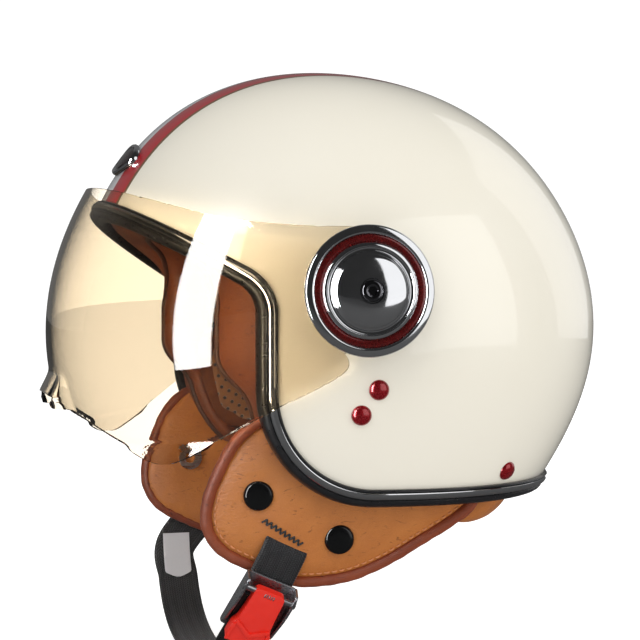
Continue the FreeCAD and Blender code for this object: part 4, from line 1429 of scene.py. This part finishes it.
def build_pivots():
    dome = [(17.2 * math.cos(a), 6.3 + 2.9 * math.sin(a)) for a in np.linspace(0.12, 1.18, 12)]
    profile = rounded(CAP_PROFILE, 0.4, 3) + dome + [(5.9, 9.0), (5.6, 8.6), (5.6, 7.2), (0, 7.2)]
    verts, faces = lathe(profile, 160)
    foot = (CAP_FOOT_X, PIVOT[1], PIVOT[2])
    both_sides("pivot_cover", placed(verts, foot, CAP_WAY), faces, LOOKS["chrome"], "chrome", "pivot_cap")
    groove = [(22.95, 3.35), (22.95, 3.7), (23.6, 3.95), (25.6, 3.95), (26.35, 3.7), (26.35, 3.35)]
    ring, rows = lathe(rounded(groove, 0.3, 3), 160)
    both_sides("groove_ring", placed(ring, foot, CAP_WAY), rows, LOOKS["accent_red"],
               "red_plastic", "accent_ring")
    head = rounded([(0, 0.9), (1.6, 0.9)], 0.2)
    hexagon = [(2.3, 0.9), (2.3, 2.6), (2.9, 2.9), (4.6, 2.8), (5.1, 2.2), (5.2, 0.4)]
    verts, faces = lathe(head + rounded(hexagon, 0.25, 3), 96)
    radius = np.hypot(verts[:, 0], verts[:, 1])
    angle = np.arctan2(verts[:, 1], verts[:, 0])
    sixth = math.pi / 3
    flat_side = math.cos(sixth / 2) / np.cos((angle % sixth) - sixth / 2)
    socket = radius < 2.45
    verts[socket, :2] *= flat_side[socket, None]
    top = np.array(foot) + CAP_WAY / np.linalg.norm(CAP_WAY) * 6.6
    both_sides("cap_screw", placed(verts, top, CAP_WAY), faces, LOOKS["dark_chrome"], "steel",
               "pivot_screw")


# ---- Rivets and badge -------------------------------------------------------
RIVET_SPOTS = [(-12.0, 64.0), (-20.0, 52.0)]
REAR_RIVET = (61.5, 20.5)
RIVET_PROFILE = [(0, 2.7), (2.2, 2.45), (3.6, 1.85), (4.5, 1.0), (4.9, 0.3), (5.0, -0.6)]


def on_shell(y, z):
    point = np.array([shell_form.x_at(y, z), y, z])
    return point, shell_form.normal(point[None])[0]


def build_rivets():
    head, rows = lathe(rounded(RIVET_PROFILE, 0.8), 64)
    spots = [on_shell(y, z) for y, z in RIVET_SPOTS]
    verts, faces = joined([(placed(head, p, (1, 0.15 * n[1], 0.15 * n[2])), rows) for p, n in spots])
    both_sides("rivet_heads", verts, faces, LOOKS["rivet_red"], "rivet_red", "strap_rivets")
    point, normal = on_shell(*REAR_RIVET)
    both_sides("rear_rivet_head", placed(head, point, normal), rows, LOOKS["rivet_red"],
               "rivet_red", "rear_rivet")


BADGE_SPOT = np.array([0.0, -111.0, 174.5])
BADGE_LONG, BADGE_TALL = 19.0, 9.5


def build_badge():
    """Blank oval medallion in a chromed rim, bent to the forehead."""
    slope = math.atan2(BADGE_SPOT[2] - FORM_CENTRE[2], FORM_CENTRE[1] - BADGE_SPOT[1]) + math.radians(4)
    up = np.array([0.0, math.sin(slope), math.cos(slope)])

    def oval(share_profile, name, look, slot, node):
        rows, steps = [], 96
        for shrink, height in share_profile:
            row = []
            for k in range(steps):
                turn = 2 * math.pi * k / steps
                flat = BADGE_SPOT + np.array([1.0, 0, 0]) * (BADGE_LONG - shrink) * math.cos(turn)
                squeeze = 1 if shrink < 5 else BADGE_TALL / BADGE_LONG
                flat = flat + up * (BADGE_TALL - shrink * squeeze) * math.sin(turn)
                row.append(flat)
            way = np.array(row) - FORM_CENTRE
            rows.append(shell_form.cast(way / np.linalg.norm(way, axis=1, keepdims=True), height))
        verts, faces = grid_tube(np.stack(rows, 0).transpose(1, 0, 2), closed=True)
        piece = make(name, verts, faces, LOOKS[look], slot=slot)
        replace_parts(fix_normals(piece), node)

    oval([(0.0, -0.2), (0.0, 1.6), (0.3, 2.6), (1.0, 3.2), (1.8, 3.0), (2.4, 2.2), (2.5, 0.0)],
         "badge_surround", "chrome",
         "chrome", "badge_rim")
    oval([(2.45, 0.2), (2.45, 1.7), (4.0, 2.2), (7.0, 2.7), (11.0, 3.0), (15.0, 3.1), (18.9, 3.1),
          (18.9, 0.2)],
         "badge_plate", "badge_dark", "badge_dark", "badge_face")


# ---- Chin strap -------------------------------------------------------------
STRAP_WIDTH = 22.5
STRAP_THICK = 1.8
STRAP_TOP = np.array([0.0, -18.0, 58.0])
STRAP_RUN = np.array([0.0, -0.407, -0.913])
STRAP_ACROSS = np.array([0.0, 0.913, -0.407])
STRAP_PATH = [(107.8, 15), (106.4, 22), (94.8, 44), (89.2, 55), (87.4, 66), (87.6, 74), (89.6, 81),
              (87.2, 94), (86.9, 99)]
LOOP_Y = -70.6
LOOP_PATH = [
    (-88.0, -26.0), (-85.5, -38.0), (-79.0, -55.0), (-66.0, -69.0), (-46.0, -78.0), (-18.0, -82.0),
    (22.0, -82.0),
    (48.0, -78.0), (64.0, -71.0), (73.0, -63.5),
]


def webbing_band(path, across, width, thick):
    """Woven strap with rounded selvedges; UV is in millimetres along and across."""
    path = np.asarray(path, float)
    way = np.gradient(path, axis=0)
    way /= np.linalg.norm(way, axis=1, keepdims=True)
    across = np.broadcast_to(np.asarray(across, float), path.shape)
    across = across - way * (across * way).sum(axis=1, keepdims=True)
    across /= np.linalg.norm(across, axis=1, keepdims=True)
    out = np.cross(across, way)
    widths = np.broadcast_to(np.asarray(width, float), (len(path),))
    half, flat = widths.max() / 2, thick / 2
    share = widths / widths.max()
    corner = [(-half + 0.5, -flat), (half - 0.5, -flat), (half - 0.12, -flat * 0.6), (half, 0)]
    corner.append((half - 0.12, flat * 0.6))
    section = corner + [(-a, -b) for a, b in corner]
    spread = []
    for (a, b), (c, d) in zip(section, section[1:] + section[:1]):
        cuts = 12 if abs(c - a) > 5 else 1
        spread += [(a + (c - a) * k / cuts, b + (d - b) * k / cuts) for k in range(cuts)]
    grid = path[:, None] + across[:, None] * (np.array([p[0] for p in spread])[None, :] * share[:,
        None])[..., None]
    grid = grid + out[:, None] * np.array([p[1] for p in spread])[None, :, None]
    run = run_along(path)
    cross = np.array([p[0] for p in spread])
    uv = np.stack(np.broadcast_arrays(run[:, None], cross[None]), -1)
    verts, faces = grid_tube(grid, closed=False)
    return verts, faces, uv.reshape(-1, 2)


def strap_piece(name, path, across, node, body="shell", width=STRAP_WIDTH):
    verts, faces, uv = webbing_band(path, across, width, STRAP_THICK)
    strap = make(name, verts, faces, LOOKS["webbing"], body, "webbing", 50)
    layer = strap.data.uv_layers.new(name="weave")
    for loop in strap.data.loops:
        layer.data[loop.index].uv = uv[loop.vertex_index]
    fix_normals(strap)
    if node:
        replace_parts(strap, node)
    return strap


def build_straps():
    near = [np.array([x, 0, 0]) + STRAP_TOP + STRAP_RUN * run for x, run in STRAP_PATH]
    near = resample(smooth_curve(near, 10), 110)
    strap_piece("strap_near", near, STRAP_ACROSS, "strap_left")
    far = [np.array([-x, 0, 0]) + STRAP_TOP + STRAP_RUN * run for x, run in STRAP_PATH[:-2]]
    far = far + [np.array([x, LOOP_Y, z]) for x, z in LOOP_PATH[1:]]
    far = resample(smooth_curve(far, 12), 320)
    share = ramp(far[:, 2], -4, -48)[:, None]
    across = STRAP_ACROSS * (1 - share) + np.array([0.0, 1.0, 0.0]) * share
    strap = strap_piece("strap_far", far, across, "strap_right", body=None)
    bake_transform(strap)

    label = [(x + 1.6, LOOP_Y, z) for x, z in smooth_curve([(-86.6, -31.5), (-84.2, -42.0), (-78.6,
        -55.0)], 12)]
    point = np.clip(np.linspace(6.5, 0.15, len(label)), 0.15, 1.0)
    verts, faces, _ = webbing_band(label, (0, 1, 0), 15.0 * point, 0.45)
    tag = make("blank_label", verts, faces, LOOKS["label_cloth"], "shell", "label_cloth")
    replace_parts(fix_normals(tag), "strap_label")


# ---- Buckle -----------------------------------------------------------------
BUCKLE = np.array([84.5, -63.2, -43.3])
BUCKLE_LEAN = math.radians(24)
RUN = STRAP_RUN * math.cos(BUCKLE_LEAN) - np.array([1.0, 0, 0]) * math.sin(BUCKLE_LEAN)
RUN = RUN / np.linalg.norm(RUN)
OUT = STRAP_RUN * math.sin(BUCKLE_LEAN) + np.array([1.0, 0, 0]) * math.cos(BUCKLE_LEAN)
OUT = OUT / np.linalg.norm(OUT)
PIN_RUN, PIN_OUT = -12.0, 6.6
HOUSING_HALF = 13.4


def in_buckle(verts):
    """From the buckle's axes (down the strap, front to rear, outwards) to the helmet's."""
    return BUCKLE + np.asarray(verts, float) @ np.array([RUN, STRAP_ACROSS, OUT])


def slab(outline, low, high):
    """Flat plate from a (run, across) outline between two heights."""
    outline = [tuple(p) for p in outline]
    count = len(outline)
    verts = [(a, b, low) for a, b in outline] + [(a, b, high) for a, b in outline]
    faces = [tuple(range(count))[::-1], tuple(range(count, 2 * count))]
    faces += [(k, (k + 1) % count, count + (k + 1) % count, count + k) for k in range(count)]
    return np.array(verts, float), faces


def round_corners(outline, radii, steps=6):
    """Closed flat outline with its corners rounded."""
    result = []
    count = len(outline)
    for k, here in enumerate(outline):
        here = np.array(here, float)
        a = np.array(outline[k - 1]) - here
        b = np.array(outline[(k + 1) % count]) - here
        reach_a = min(radii[k], np.linalg.norm(a) * 0.48)
        reach_b = min(radii[k], np.linalg.norm(b) * 0.48)
        if radii[k] == 0:
            result.append(tuple(here))
            continue
        start, end = here + a / np.linalg.norm(a) * reach_a, here + b / np.linalg.norm(b) * reach_b
        for step in range(steps + 1):
            t = step / steps
            result.append(tuple((1 - t) ** 2 * start + 2 * t * (1 - t) * here + t * t * end))
    return result


def buckle_piece(name, verts, faces, look, slot, node, body="shell", edge=0.35):
    piece = make(name, in_buckle(verts), faces, LOOKS[look], body, slot)
    fix_normals(piece)
    if edge:
        bevelled(piece, edge)
    if node:
        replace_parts(piece, node)
    return piece


def build_buckle():
    half = HOUSING_HALF
    base = round_corners([(-17, -half), (15, -half), (15, half), (-17, half)], [2.5, 2.5, 2.5, 2.5])
    cheek = round_corners([(-17, -1.6), (13, -1.6), (13, 3.0), (-4, 8.4), (-17, 8.4)], [1.2, 1.2, 3, 5, 3])
    parts = [slab(base, -1.6, -0.2)]
    for side in (-1, 1):
        verts, faces = slab(cheek, half - 1.3, half)
        verts = np.column_stack([verts[:, 0], verts[:, 2] * side, verts[:, 1]])
        parts.append((verts, faces))
    verts, faces = joined(parts)
    buckle_piece("buckle_plate", verts, faces, "steel", "steel", "buckle_frame", edge=0.25)

    profile = rounded([(0, -half - 0.6), (1.9, -half - 0.6), (1.9, -half - 0.1), (1.5, -half), (1.5, half),
                       (1.9, half + 0.1), (1.9, half + 0.6), (0, half + 0.6)], 0.2, 2)
    verts, faces = lathe(profile, 32)
    verts = np.column_stack([verts[:, 0] + PIN_RUN, verts[:, 2], verts[:, 1] + PIN_OUT])
    buckle_piece("lever_axle", verts, faces, "steel", "steel", "lever_pin", edge=0)

    outline = round_corners([(-14.6, -7.6), (-2, -8.2), (4.5, -8.8), (8, -10.4), (16.4, -10.4),
                             (15.6, 0), (16.4, 10.4),
                             (8, 10.4), (4.5, 8.8), (-2, 8.2), (-14.6, 7.6)], [2.6, 0, 1, 1, 2.2,
                                 4, 2.2, 1, 1, 0, 2.6])
    ridge_low = round_corners([(4.2, -8.6), (9.4, 0), (4.2, 8.6), (6.4, 8.6), (11.8, 0), (6.4,
        -8.6)], [0.4] * 6)
    rail = round_corners([(6.4, 8.2), (16.0, 9.2), (16.0, 10.3), (7.4, 10.3)], [0.3] * 4)
    rail_mirror = [(a, -b) for a, b in rail][::-1]
    parts = [slab(outline, 4.2, 9.4), slab(ridge_low, 9.0, 10.4), slab(rail, 9.0, 10.2),
             slab(rail_mirror, 9.0, 10.2)]
    verts, faces = joined(parts)
    dip = np.clip((verts[:, 0] - 2) / 14, 0, 1)
    top = verts[:, 2] > 8
    verts[:, 2] += top * (1.1 * dip ** 2 - 0.14 * np.clip(-verts[:, 0] - 8, 0, 6))
    buckle_piece("pull_lever", verts, faces, "red_plastic", "red_plastic", "release_lever", "lever", 0.55)

    coil = []
    for k in range(97):
        turn = 2 * math.pi * 4.5 * k / 96
        coil.append((PIN_RUN + 2.05 * math.cos(turn), -2.6 + 5.2 * k / 96, PIN_OUT + 2.05 * math.sin(turn)))
    verts, faces = tube_along(coil, 0.38, 8, up=(0, 1, 0))
    buckle_piece("lever_coil", verts, faces, "steel", "steel", "lever_spring", edge=0)

    tongue = round_corners([(-6, -10.5), (25, -10.5), (27, -6), (27, 6), (25, 10.5), (-6, 10.5)],
                           [2, 2, 2, 2, 2, 2])
    parts = [slab(tongue, 0.35, 2.2)]
    for tooth in range(6):
        run = -4.5 + 2.6 * tooth
        verts, faces = slab([(run, 2.1), (run + 2.0, 2.1), (run + 2.0, 3.3)], -6, 6)
        parts.append((np.column_stack([verts[:, 0], verts[:, 2], verts[:, 1]]), faces))
    verts, faces = joined(parts)
    buckle_piece("ratchet_bar", verts, faces, "black_plastic", "black_plastic", "ratchet_tongue",
                 "tongue", 0.3)


def build_keeper():
    outer = round_corners([(-STRAP_WIDTH / 2 - 2.5, -3.5), (STRAP_WIDTH / 2 + 2.5, -3.5),
                           (STRAP_WIDTH / 2 + 2.5, 3.5),
                           (-STRAP_WIDTH / 2 - 2.5, 3.5)], [2.0] * 4)
    inner = round_corners([(-STRAP_WIDTH / 2 - 0.5, -1.3), (STRAP_WIDTH / 2 + 0.5, -1.3),
                           (STRAP_WIDTH / 2 + 0.5, 1.3),
                           (-STRAP_WIDTH / 2 - 0.5, 1.3)], [0.6] * 4)
    count = len(outer)
    verts = [(x, y, z) for x in (-4.5, 4.5) for ring in (outer, inner) for y, z in ring]
    faces = []
    for k in range(count):
        n = (k + 1) % count
        faces += [(k, n, count + n, count + k), (2 * count + k, 3 * count + k, 3 * count + n,
                                                 2 * count + n),
                  (k, 2 * count + k, 2 * count + n, n), (count + k, count + n, 3 * count + n,
                                                         3 * count + k)]
    lean = math.radians(-8.7)
    turn = np.array([[math.cos(lean), 0, -math.sin(lean)], [0, 1, 0], [math.sin(lean), 0, math.cos(lean)]])
    verts = np.array(verts) @ turn + np.array([35, LOOP_Y, -80.0])
    keeper = make("webbing_keeper", verts, faces, LOOKS["black_plastic"], "tongue", "black_plastic")
    fix_normals(keeper)
    bevelled(keeper, 0.4)
    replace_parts(keeper, "strap_keeper")


# ---- Floor, light and camera ------------------------------------------------
VIEW_TURN, VIEW_RISE = math.radians(75), math.radians(2.5)
VIEW_TARGET = Vector((0.0, -0.009, 0.092))
VIEW_DISTANCE = 1.05
LENS = 111.44


# Strengths of the world for mirror-like pieces, and for matt, clear and plain view.
ROOM_DARK, BACKDROP_SHARE = 0.03, 0.14
WORLD_MATT, WORLD_THROUGH, WORLD_SEEN = 0.57, 2.3, 1.1
FLOOR_MATT, FLOOR_THROUGH, FLOOR_SEEN = 0.12, 1.2, 0.72


def direction(turn, rise):
    return Vector((math.sin(turn) * math.cos(rise), -math.cos(turn) * math.cos(rise), math.sin(rise)))


def aim(obj, target):
    obj.rotation_euler = (target - obj.location).to_track_quat("-Z", "Y").to_euler()


def soft_light(name, turn, rise, distance, size, power, reflected=True, lights=True):
    data = bpy.data.lights.new(name, "AREA")
    data.shape = "RECTANGLE"
    data.size, data.size_y = size
    data.energy = power
    light = bpy.data.objects.new(name, data)
    light.location = VIEW_TARGET + direction(math.radians(turn), math.radians(rise)) * distance
    light.visible_glossy = reflected
    light.visible_diffuse = lights
    light.visible_camera = False
    bpy.context.scene.collection.objects.link(light)
    aim(light, VIEW_TARGET)
    return light


def build_studio():
    scene = bpy.context.scene
    scene.view_settings.view_transform = "Standard"
    scene.view_settings.look = "None"
    world = bpy.data.worlds.new("studio")
    world.use_nodes = True
    tree = world.node_tree
    back = tree.nodes["Background"]
    back.inputs["Color"].default_value = (1.0, 1.0, 1.0, 1.0)
    # Mirror-like pieces see a dark room in front of the helmet and the pale backdrop behind it.
    facing = tree.nodes.new("ShaderNodeVectorMath")
    facing.operation = "DOT_PRODUCT"
    tree.links.new(tree.nodes.new("ShaderNodeTexCoord").outputs["Generated"], facing.inputs[0])
    facing.inputs[1].default_value = -direction(VIEW_TURN, VIEW_RISE)
    room = tree.nodes.new("ShaderNodeMapRange")
    room.interpolation_type = "SMOOTHSTEP"
    for name, value in zip(RANGE_INPUTS, (facing.outputs["Value"], 0.0, 0.7, ROOM_DARK, BACKDROP_SHARE)):
        put(tree, room.inputs[name], value)
    put(tree, back.inputs["Strength"], ray_share(tree, WORLD_MATT, room.outputs[0], WORLD_THROUGH,
                                                 WORLD_SEEN))
    scene.world = world

    low = min(cad_bounds[0][2], cad_bounds[1][2]) - 0.0005
    size = 6.0
    mesh = bpy.data.meshes.new("floor")
    rings = 48
    turns = [2 * math.pi * k / rings for k in range(rings)]
    verts = [(0, 0, low)] + [(size * math.cos(turn), size * math.sin(turn), low) for turn in turns]
    mesh.from_pydata(verts, [], [(0, 1 + k, 1 + (k + 1) % rings) for k in range(rings)])
    floor = bpy.data.objects.new("floor", mesh)
    scene.collection.objects.link(floor)
    f = Finish("floor", Roughness=0.9, Specular_IOR_Level=0.1, Emission_Color=(1.0, 1.0, 1.0, 1.0))
    pale = f.mix(f.noise(0.002), (0.82, 0.82, 0.82, 1), (0.84, 0.84, 0.84, 1))
    f.drive("Base Color", f.mix(ray_share(f.tree, 0.0, 1.0, 0.0, 0.0), pale, (0.10, 0.10, 0.10, 1)))
    f.drive("Emission Strength", ray_share(f.tree, FLOOR_MATT, 0.0, FLOOR_THROUGH, FLOOR_SEEN))
    mesh.materials.append(f.material)

    soft_light("key", 48, 50, 1.7, (1.4, 1.2), 10, reflected=False)
    soft_light("side", 127, 2, 1.6, (1.3, 2.4), 12)
    soft_light("rear", 198, 22, 1.8, (1.4, 1.8), 5)
    soft_light("band", 39.5, 8, 0.45, (0.132, 0.43), 2.9, lights=False)

    data = bpy.data.cameras.new("camera")
    data.lens = LENS
    data.sensor_width = 36.0
    camera = bpy.data.objects.new("camera", data)
    camera.location = VIEW_TARGET + direction(VIEW_TURN, VIEW_RISE) * VIEW_DISTANCE
    scene.collection.objects.link(camera)
    aim(camera, VIEW_TARGET)
    scene.camera = camera


build_studio()
dress_cad_nodes()
build_shell()
build_rim()
build_brow_band()
build_crown()
build_flaps()
build_cheeks()
build_neck_roll()
build_visor()
build_pivots()
build_rivets()
build_badge()
build_straps()
build_buckle()
build_keeper()
